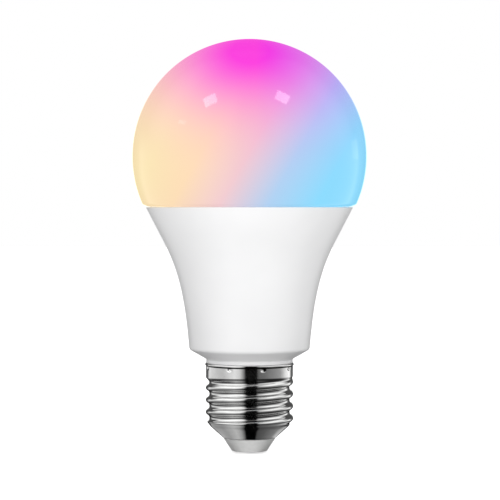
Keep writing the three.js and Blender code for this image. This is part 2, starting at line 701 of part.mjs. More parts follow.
// Fibreglass board on edge: wide in the sleeve, with a tongue down the neck.
function driverBoard() {
  const outline = new THREE.Shape();
  outline.moveTo(-TONGUE_HALF_WIDTH, TONGUE_FOOT_Z);
  outline.lineTo(TONGUE_HALF_WIDTH, TONGUE_FOOT_Z);
  outline.lineTo(TONGUE_HALF_WIDTH, TONGUE_TOP_Z);
  outline.lineTo(DRIVER_HALF_WIDTH, TONGUE_TOP_Z);
  outline.lineTo(DRIVER_HALF_WIDTH, DRIVER_TOP_Z);
  outline.lineTo(-DRIVER_HALF_WIDTH, DRIVER_TOP_Z);
  outline.lineTo(-DRIVER_HALF_WIDTH, TONGUE_TOP_Z);
  outline.lineTo(-TONGUE_HALF_WIDTH, TONGUE_TOP_Z);
  outline.closePath();
  const options = { depth: DRIVER_THICK, bevelEnabled: false };
  const board = new THREE.ExtrudeGeometry(outline, options);
  return board.rotateX(Math.PI / 2).translate(0, DRIVER_BACK_Y, 0);
}

add("driver_board", driverBoard(), boardGreen);

// Pin header on the driver board's top edge, whose pins rise through the LED board.
function pinHeader() {
  const half = (PINS * PIN_PITCH) / 2;
  const barFootZ = DRIVER_TOP_Z - 2.8;
  const bar = block(
    [-half, DRIVER_Y - SEAT - HEADER_DEEP, barFootZ],
    [half, DRIVER_Y - SEAT, barFootZ + 2.5],
  );
  const pins = [];
  for (let i = 0; i < PINS; i++) {
    const side = PIN_SIDE / 2;
    pins.push(block(
      [pinX(i) - side, PIN_Y - side, barFootZ + 0.5],
      [pinX(i) + side, PIN_Y + side, BOARD_TOP_Z + 1.1],
    ));
  }
  return join(bar, ...pins);
}

add("pin_header", pinHeader(), chipBlack);

// ---------------------------------------------------------------- parts on the driver board
// Each stands on the board's front face (towards -Y) or its back face. The upper group hangs
// from the board's top edge, the middle group stands on the floor, the lower one is in the neck.

// Transformer: a ferrite core round the middle leg of which sit a bobbin and its winding.
const TRANSFORMER_X = -4.5;
const TRANSFORMER_DOWN = 10.2; // its middle below the board's top edge
const LEG_WIDTH = 3.2;
const CORE_DEEP = 5.5;
const WINDOW = [2.6, 8.6];
const CORE_ARM = 2.3;
const BOBBIN_FLANGE = 2.4; // reach of the bobbin's flanges past the core, front and back
const TRANSFORMER_Y = DRIVER_Y - SLIP - CORE_DEEP / 2 - BOBBIN_FLANGE;
const TRANSFORMER_Z = DRIVER_TOP_Z - TRANSFORMER_DOWN;

function transformerCore() {
  const y = CORE_DEEP / 2;
  const outerX = LEG_WIDTH / 2 + WINDOW[0] + CORE_ARM;
  const outerZ = WINDOW[1] / 2 + 2.0;
  const windows = [-1, 1].map((side) => {
    const x = [side * (LEG_WIDTH / 2), side * (LEG_WIDTH / 2 + WINDOW[0])].sort((p, q) => p - q);
    return block([x[0], -y - 1, -WINDOW[1] / 2], [x[1], y + 1, WINDOW[1] / 2]);
  });
  return cut(block([-outerX, -y, -outerZ], [outerX, y, outerZ]), ...windows);
}

const BOBBIN_WALL = 0.4;
const BOBBIN_X = LEG_WIDTH / 2 + SLIP + BOBBIN_WALL;
const BOBBIN_Y = CORE_DEEP / 2 + SLIP + BOBBIN_WALL;
const BOBBIN_HALF_HEIGHT = WINDOW[1] / 2 - SLIP;

function transformerBobbin() {
  const x = LEG_WIDTH / 2 + WINDOW[0] - SLIP;
  const y = CORE_DEEP / 2 + BOBBIN_FLANGE;
  const h = BOBBIN_HALF_HEIGHT;
  const hole = [LEG_WIDTH / 2 + SLIP, CORE_DEEP / 2 + SLIP];
  return cut(
    join(
      block([-x, -y, -h], [x, y, -h + 0.7]),
      block([-BOBBIN_X, -BOBBIN_Y, -h], [BOBBIN_X, BOBBIN_Y, h]),
      block([-x, -y, h - 0.7], [x, y, h]),
    ),
    block([-hole[0], -hole[1], -h - 1], [hole[0], hole[1], h + 1]),
  );
}

function transformerWinding() {
  const h = BOBBIN_HALF_HEIGHT - 0.8;
  const x = LEG_WIDTH / 2 + WINDOW[0] - 1.5 * SLIP;
  const y = CORE_DEEP / 2 + BOBBIN_FLANGE - SLIP;
  const corner = 1.2;
  const shape = new THREE.Shape();
  shape.moveTo(-x + corner, -y);
  shape.lineTo(x - corner, -y);
  shape.absarc(x - corner, -y + corner, corner, -Math.PI / 2, 0);
  shape.lineTo(x, y - corner);
  shape.absarc(x - corner, y - corner, corner, 0, Math.PI / 2);
  shape.lineTo(-x + corner, y);
  shape.absarc(-x + corner, y - corner, corner, Math.PI / 2, Math.PI);
  shape.lineTo(-x, -y + corner);
  shape.absarc(-x + corner, -y + corner, corner, Math.PI, 1.5 * Math.PI);
  const inner = [BOBBIN_X + 0.1, BOBBIN_Y + 0.1];
  return cut(
    plate(shape, -h, h, 3),
    block([-inner[0], -inner[1], -h - 1], [inner[0], inner[1], h + 1]),
  );
}

for (const [name, geometry, material] of [
  ["transformer_core", transformerCore(), ferrite],
  ["transformer_bobbin", transformerBobbin(), bobbinPlastic],
  ["transformer_winding", transformerWinding(), tapeYellow],
]) {
  add(name, geometry, material).position.set(TRANSFORMER_X, TRANSFORMER_Y, TRANSFORMER_Z);
}

// Electrolytic capacitor lying along Z against the board, its leads bent back to it.
function electrolytic(radius, height) {
  const can = turned([
    [0, 0],
    [radius - 0.3, 0],
    [radius, 0.3],
    [radius, 1.2],
    [radius - 0.35, 1.6],
    [radius, 2.0],
    [radius, height - 0.5],
    [radius - 0.5, height],
    [0, height],
  ], 16);
  const leads = [-1, 1].flatMap((side) => {
    const x = side * radius * 0.35;
    return [
      block([x - 0.25, -0.25, -1.2], [x + 0.25, 0.25, 0.5]),
      block([x - 0.25, -0.25, -1.2], [x + 0.25, radius + SLIP - SEAT, -0.7]),
    ];
  });
  return join(can, ...leads);
}

function addElectrolytic(name, radius, height, x, footZ) {
  const made = add(name, electrolytic(radius, height), canSleeve);
  made.position.set(x, DRIVER_Y - radius - SLIP, footZ);
}

const CAN_R = 4;
const CAN_HEIGHT = 12;
const NECK_CAN_R = 3.1;
addElectrolytic("output_capacitor", CAN_R, CAN_HEIGHT, 7.2, DRIVER_TOP_Z - 4.5 - CAN_HEIGHT);
addElectrolytic("input_capacitor", CAN_R, CAN_HEIGHT, -5.4, FLOOR_Z + 1.6);
addElectrolytic("filter_capacitor", NECK_CAN_R, 10.5, -3.2, TONGUE_FOOT_Z + 3);

// Filter choke: a ferrite drum with copper wire in its waist.
const CHOKE_R = 4;
const CHOKE_HEIGHT = 8.5;
const CHOKE_CHEEK = 1.4;
const CHOKE_WAIST_R = 1.8;
const chokeAt = [5.6, DRIVER_Y - CHOKE_R - SLIP, FLOOR_Z + 1.8];
add("choke_core", turned([
  [0, 0],
  [CHOKE_R, 0],
  [CHOKE_R, CHOKE_CHEEK],
  [CHOKE_WAIST_R, CHOKE_CHEEK],
  [CHOKE_WAIST_R, CHOKE_HEIGHT - CHOKE_CHEEK],
  [CHOKE_R, CHOKE_HEIGHT - CHOKE_CHEEK],
  [CHOKE_R, CHOKE_HEIGHT],
  [0, CHOKE_HEIGHT],
], 16), ferrite).position.set(...chokeAt);
add("choke_winding", turned([
  [CHOKE_WAIST_R + 0.1, CHOKE_CHEEK + 0.1],
  [CHOKE_R - 0.3, CHOKE_CHEEK + 0.1],
  [CHOKE_R - 0.3, CHOKE_HEIGHT - CHOKE_CHEEK - 0.1],
  [CHOKE_WAIST_R + 0.1, CHOKE_HEIGHT - CHOKE_CHEEK - 0.1],
], 16), copper).position.set(...chokeAt);

// Fusible resistor in the live lead: an axial body between two capped ends.
const FUSE_R = 1.5;
const FUSE_X = 4.4;
function fuseResistor() {
  const body = turned([
    [0, 0],
    [FUSE_R * 0.8, 0],
    [FUSE_R, 0.5],
    [FUSE_R, 1.5],
    [FUSE_R - 0.25, 2.0],
    [FUSE_R - 0.25, 6.0],
    [FUSE_R, 6.5],
    [FUSE_R, 7.5],
    [FUSE_R * 0.8, 8.0],
    [0, 8.0],
  ], 12);
  const reach = FUSE_R + SLIP - SEAT;
  return join(
    body,
    block([-0.25, -0.25, -1.2], [0.25, 0.25, 9.2]),
    block([-0.25, -0.25, -1.2], [0.25, reach, -0.7]),
    block([-0.25, -0.25, 8.7], [0.25, reach, 9.2]),
  );
}

const fuseAt = [FUSE_X, DRIVER_Y - FUSE_R - SLIP, TONGUE_FOOT_Z + 3.4];
add("fuse_resistor", fuseResistor(), resistorGreen).position.set(...fuseAt);

// Coated disc on two leads, standing off the back of the board.
function disc(radius, thick) {
  const body = turned([
    [0, 0],
    [radius - thick * 0.35, 0],
    [radius, thick * 0.35],
    [radius, thick * 0.65],
    [radius - thick * 0.35, thick],
    [0, thick],
  ], 16).rotateX(-Math.PI / 2);
  const leads = [-1, 1].flatMap((side) => {
    const x = side * radius * 0.55;
    return [
      block([x - 0.25, thick * 0.35, -radius - 1.6], [x + 0.25, thick * 0.35 + 0.5, 0]),
      block([x - 0.25, -0.4 + SEAT, -radius - 1.6], [x + 0.25, thick * 0.35 + 0.5, -radius - 1.1]),
    ];
  });
  return join(body, ...leads);
}

const backAt = (x, z) => [x, DRIVER_BACK_Y + 0.4, z];
add("varistor", disc(3.4, 3.2), discBlue).position.set(...backAt(0, TONGUE_FOOT_Z + 9));
add("safety_capacitor", disc(3.2, 2.8), discBlue).position.set(...backAt(6, DRIVER_TOP_Z - 9));

// Flat chip on the back of the board: moulded body with gull-wing legs on both sides.
function chip(width, height, thick, legsPerSide, legPitch) {
  const body = block([-width / 2, 0.1, -height / 2], [width / 2, 0.1 + thick, height / 2]);
  const legs = [];
  for (const side of [-1, 1]) {
    for (let i = 0; i < legsPerSide; i++) {
      const z = (i - (legsPerSide - 1) / 2) * legPitch;
      const x = [side * (width / 2 - 0.2), side * (width / 2 + 0.9)].sort((p, q) => p - q);
      const toe = [side * (width / 2 + 0.4), side * (width / 2 + 0.9)].sort((p, q) => p - q);
      legs.push(block([x[0], thick * 0.4, z - 0.2], [x[1], thick * 0.4 + 0.25, z + 0.2]));
      legs.push(block([toe[0], 0, z - 0.2], [toe[1], thick * 0.4 + 0.25, z + 0.2]));
    }
  }
  return join(body, ...legs);
}

const onBack = (x, z) => [x, DRIVER_BACK_Y + SEAT, z];
add("bridge_rectifier", chip(4.0, 4.8, 1.5, 2, 2.5), chipBlack).position.set(...onBack(-5, FLOOR_Z + 5));
add("driver_ic", chip(3.9, 4.9, 1.4, 4, 1.27), chipBlack).position.set(...onBack(4.5, FLOOR_Z + 8));
add("regulator_ic", chip(2.9, 3.0, 1.1, 3, 0.95), chipBlack).position.set(...onBack(-5.5, DRIVER_TOP_Z - 9));

// ---------------------------------------------------------------- mains wires
// The live wire drops from the tongue to the contact's stem. The neutral wire turns under the
// neck and up its notch, where the screw shell grips it.
add("live_wire", wire(LIVE_R, [
  [4.4, DRIVER_Y - LIVE_R - SLIP, TONGUE_FOOT_Z + 1.2],
  [4.1, DRIVER_Y - LIVE_R - SLIP, TONGUE_FOOT_Z - 1.5],
  [1.6, 0.4, (TONGUE_FOOT_Z + INSULATOR_TOP_Z) / 2],
  [0.1, 0, INSULATOR_TOP_Z + 1.2],
  [0, 0, CONTACT_STEM_TOP_Z + 0.3],
], 10), wireRed);

add("neutral_wire", wire(NEUTRAL_R, [
  [-5.5, DRIVER_Y - NEUTRAL_R - SLIP, TONGUE_FOOT_Z + 1.0],
  [-5.9, DRIVER_Y - NEUTRAL_R - 2 * SLIP, TONGUE_FOOT_Z - 1.6],
  [-7.4, 0.3, NECK_FOOT_Z - 1.0],
  [0.5 - NOTCH_WIRE_R, 0, NECK_FOOT_Z - 0.9],
  [-NOTCH_WIRE_R, 0, NECK_FOOT_Z],
  [-NOTCH_WIRE_R, 0, NECK_FOOT_Z + 1.5],
  [-NOTCH_WIRE_R, 0, THREAD_TOP_Z - 1.9],
], 18), wireBlack);

export default bulb;
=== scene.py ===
# A smart light bulb: a milky, lit globe on a flared white housing with an E27 screw cap, and the
# boards, driver and wiring inside it. Sizes are in millimetres and become metres in the meshes.
# The sections follow the bulb as it is put together, from the cap upwards.
import json
import math

import bpy
import numpy as np
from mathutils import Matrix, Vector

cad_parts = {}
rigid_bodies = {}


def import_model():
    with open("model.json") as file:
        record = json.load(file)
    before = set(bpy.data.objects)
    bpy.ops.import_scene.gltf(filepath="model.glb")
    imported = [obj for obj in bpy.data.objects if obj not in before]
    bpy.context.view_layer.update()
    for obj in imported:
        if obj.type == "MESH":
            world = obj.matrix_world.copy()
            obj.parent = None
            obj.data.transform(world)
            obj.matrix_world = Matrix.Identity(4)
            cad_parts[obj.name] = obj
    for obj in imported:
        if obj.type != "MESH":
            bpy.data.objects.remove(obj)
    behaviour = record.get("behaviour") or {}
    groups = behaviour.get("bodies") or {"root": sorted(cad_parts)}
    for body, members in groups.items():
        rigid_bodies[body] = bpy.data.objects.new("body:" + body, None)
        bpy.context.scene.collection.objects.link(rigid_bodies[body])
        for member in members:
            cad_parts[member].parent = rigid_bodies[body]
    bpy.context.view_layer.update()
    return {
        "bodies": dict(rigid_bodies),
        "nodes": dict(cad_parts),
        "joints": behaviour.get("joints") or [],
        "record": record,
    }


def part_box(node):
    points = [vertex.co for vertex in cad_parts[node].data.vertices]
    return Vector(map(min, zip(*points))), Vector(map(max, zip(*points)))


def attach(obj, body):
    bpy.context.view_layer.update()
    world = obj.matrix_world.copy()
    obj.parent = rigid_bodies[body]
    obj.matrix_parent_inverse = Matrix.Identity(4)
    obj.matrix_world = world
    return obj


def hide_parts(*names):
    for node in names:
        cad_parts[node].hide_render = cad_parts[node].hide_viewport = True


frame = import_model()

nodes = frame["nodes"]

# ------------------------------------------------------------------ screw shell
# Thin brass sheet, drawn to a cup, rolled with a right-hand thread and nickel plated. Punch
# marks round the plain band lock it on the housing's neck. Its rim and its lip are curled.
shell_low, shell_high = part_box("screw_shell")
lip_z = shell_low.z * 1000
rim_z = shell_high.z * 1000
crest_r = 13.12
thread_depth = 1.1
pitch = 3.629
band_r = 13.05
sheet = 0.35
thread_top_z = 22.9
run_in = 2.4
run_out = 1.6
crest_passes_z = 15.53
lip_r = 8.0
cone_spread = 1.125
curl_out = 0.24
crease_z = rim_z - 0.8
punch_depth = 0.4
punch_width = 0.55
punch_z = rim_z - 1.3
punch_angles = np.radians(-72 + 45 * np.arange(8))


def smooth_step(t):
    """0 below 0, 1 above 1, and 3t^2 - 2t^3 between."""
    t = np.clip(t, 0, 1)
    return t * t * (3 - 2 * t)


def skin(grid, closed=False):
    """Points and faces of one closed skin from rings of points, shaped (rings, spokes, 3). With
    closed, the last ring joins the first. Without it, each end ring is filled from its middle."""
    rings, spokes = grid.shape[:2]
    j = np.arange(spokes)
    k = (j + 1) % spokes
    start = np.arange(rings if closed else rings - 1)[:, None] * spokes
    after = (start + spokes) % (rings * spokes)
    points = grid.reshape(-1, 3)
    faces = np.stack([start + j, start + k, after + k, after + j], axis=2).reshape(-1, 4).tolist()
    if not closed:
        foot = len(points)
        last = foot - spokes
        points = np.concatenate([points, grid[:1].mean(axis=1), grid[-1:].mean(axis=1)])
        faces += np.stack([np.full_like(j, foot), k, j], axis=1).tolist()
        faces += np.stack([last + j, last + k, np.full_like(j, foot + 1)], axis=1).tolist()
    return points, faces


def piece_of(name, skins, flat=False):
    """One object made of closed skins, each given as (grid, closed, material number)."""
    points, faces, kinds = [], [], []
    for grid, closed, kind in skins:
        new_points, new_faces = skin(grid, closed)
        first = sum(len(p) for p in points)
        faces += [[first + corner for corner in face] for face in new_faces]
        kinds += [kind] * len(new_faces)
        points.append(new_points)
    mesh = bpy.data.meshes.new(name)
    mesh.from_pydata((np.concatenate(points) * 0.001).tolist(), [], faces)
    mesh.polygons.foreach_set("material_index", kinds)
    mesh.polygons.foreach_set("use_smooth", [not flat] * len(faces))
    mesh.update()
    piece = bpy.data.objects.new(name, mesh)
    bpy.context.scene.collection.objects.link(piece)
    return piece


def rings_of(radius, height):
    """Ring i, spoke j lies at (r cos a, r sin a, z) with a = 2 pi j / spokes."""
    angle = np.arange(radius.shape[1]) * 2 * np.pi / radius.shape[1]
    return np.stack([radius * np.cos(angle), radius * np.sin(angle), height], axis=2)


def seat(piece, node, slot, *materials):
    """Puts a finished piece in a CAD node's place, on the bulb's one body."""
    for material in materials:
        piece.data.materials.append(material)
    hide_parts(node)
    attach(piece, "root")


def node_adder(tree):
    """Gives a function that adds a node to a tree: values go on its sockets, sockets are
    linked to them, and settings go on the node."""

    def node(kind, inputs=None, **settings):
        made = tree.nodes.new(kind)
        for key, value in settings.items():
            setattr(made, key, value)
        for key, value in (inputs or {}).items():
            if isinstance(value, bpy.types.NodeSocket):
                tree.links.new(value, made.inputs[key])
            else:
                made.inputs[key].default_value = value
        return made

    return node


def new_material(name):
    """A material with a Principled shader on its output, and the means to add nodes to it."""
    material = bpy.data.materials.new(name)
    material.use_nodes = True
    tree = material.node_tree
    return material, tree.nodes["Principled BSDF"], node_adder(tree), tree.links.new


def grain(node, scale, stretch=(1, 1, 1), detail=3.0, rough=0.55):
    """Noise on object coordinates, stretched along the axes: its value runs from 0 to 1."""
    place = node("ShaderNodeTexCoord").outputs["Object"]
    mapped = node("ShaderNodeMapping", {"Vector": place, "Scale": stretch}).outputs["Vector"]
    return node(
        "ShaderNodeTexNoise",
        {"Vector": mapped, "Scale": scale, "Detail": detail, "Roughness": rough},
    ).outputs["Fac"]


def spread(node, value, start, end, low=0.0, high=1.0):
    """Takes start..end to low..high, and holds the ends beyond."""
    return node("ShaderNodeMapRange", {
        "Value": value, "From Min": start, "From Max": end, "To Min": low, "To Max": high,
    }).outputs["Result"]


def remap(node, value, low, high):
    """Takes 0.3..0.7, where noise mostly lies, to low..high."""
    return spread(node, value, 0.3, 0.7, low, high)


def maths(node, operation, *values):
    """One Math node."""
    return node("ShaderNodeMath", dict(enumerate(values)), operation=operation).outputs[0]


def near(node, value, line, start, end):
    """1 where the value is within start of the line, falling to 0 at end."""
    off = maths(node, "ABSOLUTE", maths(node, "SUBTRACT", value, line))
    return spread(node, off, start, end, 1.0, 0.0)


def mixed(node, share, colour_a, colour_b):
    """Colour A where the share is 0, running to colour B where it is 1."""
    return node(
        "ShaderNodeMix", {0: share, 6: colour_a, 7: colour_b}, data_type="RGBA"
    ).outputs[2]


def ramp_of(node, value, stops):
    """Colours joined by straight lines, from [value, colour] stops."""
    ramp = node("ShaderNodeValToRGB", {"Fac": value})
    elements = ramp.color_ramp.elements
    while len(elements) < len(stops):
        elements.new(0.5)
    for element, (position, colour) in zip(elements, stops):
        element.position = position
        element.color = (*colour, 1)
    return ramp


def two_tone(node, value, dark, light):
    """Runs from one colour to the other as the value goes from 0.3 to 0.7."""
    return ramp_of(node, value, [(0.3, dark), (0.7, light)]).outputs["Color"]


def height_of(node):
    """The height in metres."""
    place = node("ShaderNodeTexCoord").outputs["Object"]
    return node("ShaderNodeSeparateXYZ", {"Vector": place}).outputs["Z"]


def relief(node, link, shader, value, depth, strength=1.0):
    """Bump of the given depth in millimetres from a 0..1 value."""
    bump = node(
        "ShaderNodeBump", {"Height": value, "Strength": strength, "Distance": depth * 0.001}
    )
    link(bump.outputs["Normal"], shader.inputs["Normal"])


def rolled_thread(angle, z):
    """Radius of the thread: arcs of one radius on crests and roots, meeting a quarter pitch
    from each. The crest's height falls by one pitch for each turn against the clock."""
    turn = (z - crest_passes_z) / pitch - (angle - np.pi) / (2 * np.pi)
    off = np.abs(turn - np.round(turn)) * pitch
    arc = ((pitch / 4) ** 2 + (thread_depth / 2) ** 2) / thread_depth
    crest = crest_r - arc + np.sqrt(arc**2 - np.minimum(off, pitch / 4) ** 2)
    from_root = np.minimum(pitch / 2 - off, pitch / 4)
    root = crest_r - thread_depth + arc - np.sqrt(arc**2 - from_root**2)
    return np.where(off < pitch / 4, crest, root)


def shell_outside(angle, z):
    """The band, with the thread sinking in below it and dying away above the cone, all kept
    within the cone; then the curl under the rim and the punch marks."""
    root_r = crest_r - thread_depth
    thread = rolled_thread(angle, z)
    cone = lip_r + (z - lip_z) * cone_spread
    foot_z = lip_z + (root_r - lip_r) / cone_spread
    sunk = smooth_step((thread_top_z - z) / run_in)
    raised = smooth_step((z - foot_z) / run_out)
    upper = band_r + (thread - band_r) * sunk
    lower = root_r + (thread - root_r) * raised
    radius = np.where(z > (foot_z + thread_top_z) / 2, upper, lower)
    soft = 0.18
    radius = 0.5 * (radius + cone - np.sqrt((radius - cone) ** 2 + soft**2))
    radius = radius + curl_out * smooth_step((z - crease_z) / 0.22)
    radius = radius - 0.6 * curl_out * smooth_step((z - rim_z + 0.3) / 0.3)
    for at in punch_angles:
        across = (np.mod(angle - at + np.pi, 2 * np.pi) - np.pi) * band_r
        away = (across**2 + (z - punch_z) ** 2) / punch_width**2
        radius = radius - punch_depth * np.exp(-(away**1.5))
    return radius


spokes = np.arange(200) * 2 * np.pi / 200
foot_rows = np.linspace(lip_z + sheet / 2, 8.4, 12)
thread_rows = np.linspace(8.4, thread_top_z, 112)[1:]
band_rows = np.linspace(thread_top_z, rim_z - sheet / 2, 48)[1:]
outer_z = np.concatenate([foot_rows, thread_rows, band_rows])
outer_r = shell_outside(spokes[None, :], outer_z[:, None])
half_turn = np.linspace(0, np.pi, 7)[1:-1, None]
rim_r = outer_r[-1] - sheet / 2 + sheet / 2 * np.cos(half_turn)
rim_curl_z = outer_z[-1] + sheet / 2 * np.sin(half_turn)
lip_curl_r = outer_r[0] - sheet / 2 - sheet / 2 * np.cos(half_turn)
lip_curl_z = outer_z[0] - sheet / 2 * np.sin(half_turn)
flat = np.ones((1, 200))
shell_r = np.concatenate([outer_r, rim_r, (outer_r - sheet)[::-1], lip_curl_r])
shell_z = np.concatenate(
    [outer_z[:, None] * flat, rim_curl_z * flat, outer_z[::-1, None] * flat, lip_curl_z * flat]
)
shell_metal, shader, node, link = new_material("bright_nickel_plate")
shader.inputs["Metallic"].default_value = 1.0
drawn = grain(node, 26.0, (18, 18, 260), 4.0)
haze = grain(node, 420.0, detail=5.0)
# Painted shade: a thin near-black line round the crease at the foot of the rim's curl.
painted_crease_shade = near(node, height_of(node), (crease_z + 0.04) / 1000, 0.00016, 0.0003)
plate = two_tone(node, haze, (0.74, 0.74, 0.735), (0.82, 0.82, 0.815))
link(mixed(node, painted_crease_shade, plate, (0.02, 0.02, 0.02, 1)), shader.inputs["Base Color"])
link(remap(node, haze, 0.05, 0.1), shader.inputs["Roughness"])
relief(node, link, shader, drawn, 0.01, 0.08)
screw_shell = piece_of("screw_shell_thread", [(rings_of(shell_r, shell_z), True, 0)])
seat(screw_shell, "screw_shell", "nickel_plate", shell_metal)

# ------------------------------------------------------------------ base insulator
# Light grey moulded plug that closes the foot of the shell and holds the contact at its middle.
# It is pushed in from above, so its flange stops it and only the cone below the lip shows.


def rounded(corners, steps=5):
    """A closed outline of [radius, height, fillet] corners, with each corner replaced by the
    curve (1-t)^2 A + 2t(1-t) C + t^2 B between points A and B one fillet away from it."""
    corner = np.array([c[:2] for c in corners], float)
    fillet = np.array([c[2] for c in corners], float)
    before = np.roll(corner, 1, axis=0) - corner
    after = np.roll(corner, -1, axis=0) - corner
    long_before = np.linalg.norm(before, axis=1)
    long_after = np.linalg.norm(after, axis=1)
    reach = np.minimum(fillet, 0.4 * np.minimum(long_before, long_after))[:, None]
    before = before / long_before[:, None]
    after = after / long_after[:, None]
    t = np.linspace(0, 1, steps + 1)[None, :, None]
    a = (corner + before * reach)[:, None]
    b = (corner + after * reach)[:, None]
    curve = (1 - t) ** 2 * a + 2 * t * (1 - t) * corner[:, None] + t**2 * b
    lead_in = (corner + before * reach * 1.2)[:, None]
    lead_out = (corner + after * reach * 1.2)[:, None]
    full = np.concatenate([lead_in, curve, lead_out], axis=1)
    rows = [full[i] if fillet[i] > 0 else corner[i : i + 1] for i in range(len(corners))]
    return np.concatenate(rows)


def turned(outline, spokes=128, kind=0):
    """A skin from [radius, height] points turned round Z: if the outline starts on the axis it
    ends there too, and otherwise it closes on itself."""
    on_axis = outline[0, 0] < 1e-9
    outline = outline[outline[:, 0] > 1e-9]
    ring = np.ones((1, spokes))
    return rings_of(outline[:, :1] * ring, outline[:, 1:] * ring), not on_axis, kind


insulator_low, insulator_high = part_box("base_insulator")
plug_foot_z = insulator_low.z * 1000
plug_top_z = insulator_high.z * 1000
plug_foot_r = 5.3
plug_neck_r = 7.27
plug_flange_r = insulator_high.x * 1000
plug_hole_r = 1.4
recess_r = 4.5
recess_z = 0.9
plug_outline = rounded([
    [plug_hole_r, recess_z, 0.1],
    [recess_r, recess_z, 0.1],
    [recess_r, plug_foot_z, 0.12],
    [plug_foot_r, plug_foot_z, 0.55],
    [7.86, lip_z - 0.18, 0.12],
    [plug_neck_r, lip_z - 0.12, 0.08],
    [plug_neck_r, lip_z + 0.4, 0.2],
    [plug_flange_r, lip_z + 1.55, 0.2],
    [plug_flange_r, plug_top_z, 0.3],
    [plug_hole_r, plug_top_z, 0.15],
])
plug_plastic, shader, node, link = new_material("light_grey_moulding")
specks = grain(node, 900.0, detail=4.0)
link(two_tone(node, specks, (0.80, 0.80, 0.79), (0.86, 0.86, 0.85)), shader.inputs["Base Color"])
link(remap(node, specks, 0.36, 0.48), shader.inputs["Roughness"])
relief(node, link, shader, grain(node, 2200.0), 0.02, 0.3)
plug = piece_of("base_insulator_plug", [turned(plug_outline)])
seat(plug, "base_insulator", "insulator", plug_plastic)

# ------------------------------------------------------------------ centre contact
# Headed nickel-plated pin, closed over the insulator. Its flat middle is polished where the
# lamp holder's spring rubs on it.
stem_top_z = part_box("centre_contact")[1].z * 1000
contact_outline = np.concatenate([
    [[0, 0]],
    rounded([
        [0.4, 0, 0],
        [3.1, 0, 0.5],
        [4.4, 0.36, 0.2],
        [4.4, 0.85, 0.12],
        [1.3, 0.85, 0.2],
        [1.3, stem_top_z, 0.3],
        [0.2, stem_top_z, 0],
    ]),
    [[0, stem_top_z]],
])


def from_axis_of(node):
    """The distance from Z in metres."""
    place = node("ShaderNodeTexCoord").outputs["Object"]
    level = node("ShaderNodeVectorMath", {0: place, 1: (1, 1, 0)}, operation="MULTIPLY").outputs[0]
    return node("ShaderNodeVectorMath", {0: level}, operation="LENGTH").outputs["Value"]


contact_metal, shader, node, link = new_material("rubbed_nickel_contact")
shader.inputs["Metallic"].default_value = 1.0
link(spread(node, from_axis_of(node), 0.0015, 0.0032, 0.12, 0.34), shader.inputs["Roughness"])
scratches = grain(node, 900.0, (1, 9, 1), 5.0)
link(two_tone(node, scratches, (0.58, 0.56, 0.52), (0.76, 0.75, 0.72)), shader.inputs["Base Color"])
relief(node, link, shader, scratches, 0.02, 0.35)
contact = piece_of("centre_contact_pin", [turned(contact_outline, 96)])
seat(contact, "centre_contact", "nickel_plate", contact_metal)

# ------------------------------------------------------------------ housing
# White polycarbonate moulded over the heat sink's shape: a flared body, a chamfer under it, a
# collar that meets the cap, and the neck that the cap is pressed and punched on. Satin outside.
housing_low, housing_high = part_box("housing_shell")
body_rim_z = housing_high.z * 1000
body_rim_r = 30.9
body_foot_r = 18.0
collar_r = 12.95
cap_rim_z = rim_z + 0.05
collar_top_z = cap_rim_z + 1.1
body_foot_z = collar_top_z + 2.9
bore_r = body_rim_r - 3.0
wall = 1.3
neck_foot_z = housing_low.z * 1000
neck_plain_r = 12.5
neck_r = 11.27
neck_bore_r = neck_r - 1.9
spigot_foot_z = body_rim_z + 0.2 - 1.7
ledge_z = body_foot_z + 1.4


def flare_curve(count):
    """Outside of the flare from foot to rim: the cubic (1-t)^3 A + 3t(1-t)^2 B + 3t^2(1-t) C
    + t^3 D, which leans 4.4 degrees at the foot A and 26.3 degrees at the rim D."""
    t = np.linspace(0, 1, count)[:, None]
    lean_foot, lean_rim = math.radians(4.4), math.radians(26.3)
    a = np.array([body_foot_r, body_foot_z])
    b = a + 24.85 * np.array([math.sin(lean_foot), math.cos(lean_foot)])
    d = np.array([body_rim_r, body_rim_z])
    c = d - 15.15 * np.array([math.sin(lean_rim), math.cos(lean_rim)])
    return (1 - t) ** 3 * a + 3 * t * (1 - t) ** 2 * b + 3 * t**2 * (1 - t) * c + t**3 * d


def with_fillet(points, fillet=0.0):
    """Adds one fillet value to each [radius, height] point."""
    return [[r, z, fillet] for r, z in points]


flare = flare_curve(41)
flare_z = np.linspace(ledge_z + 0.6, spigot_foot_z - 1.8, 24)
lining = np.minimum(bore_r, np.interp(flare_z, flare[:, 1], flare[:, 0]) - wall)
snap_z = body_rim_z + 0.2 - 0.85
groove_r = body_rim_r - 1.4
housing_outline = rounded(
    [
        [neck_bore_r, neck_foot_z, 0.2],
        [neck_r, neck_foot_z, 0.3],
        [neck_r, thread_top_z - 0.8, 0.3],
        [neck_plain_r, thread_top_z, 0.3],
        [neck_plain_r, cap_rim_z, 0.05],
        [collar_r, cap_rim_z, 0.12],
        [collar_r, collar_top_z, 0.25],
        [body_foot_r, body_foot_z, 0.7],
    ]
    + with_fillet(flare[1:-1])
    + [
        [body_rim_r, body_rim_z, 0.25],
        [groove_r + 0.5, body_rim_z, 0.1],
        [groove_r + 0.5, body_rim_z - 0.5, 0.08],
        [groove_r - 0.5, body_rim_z - 0.5, 0.08],
        [groove_r - 0.5, body_rim_z, 0.1],
        [bore_r, body_rim_z, 0.15],
        [bore_r, snap_z + 0.45, 0.1],
        [bore_r + 0.35, snap_z, 0.15],
        [bore_r, snap_z - 0.45, 0.1],
    ]
    + with_fillet(np.stack([lining, flare_z], axis=1)[::-1])
    + [
        [lining[0] - 0.1, ledge_z, 0.3],
        [13.0, ledge_z, 0.3],
        [neck_bore_r, collar_top_z + 1.9, 0.6],
    ]
)
housing_r = housing_outline[:, :1] * np.ones((1, 240))
housing_z = housing_outline[:, 1:] * np.ones((1, 240))
around = np.arange(240) * 2 * np.pi / 240
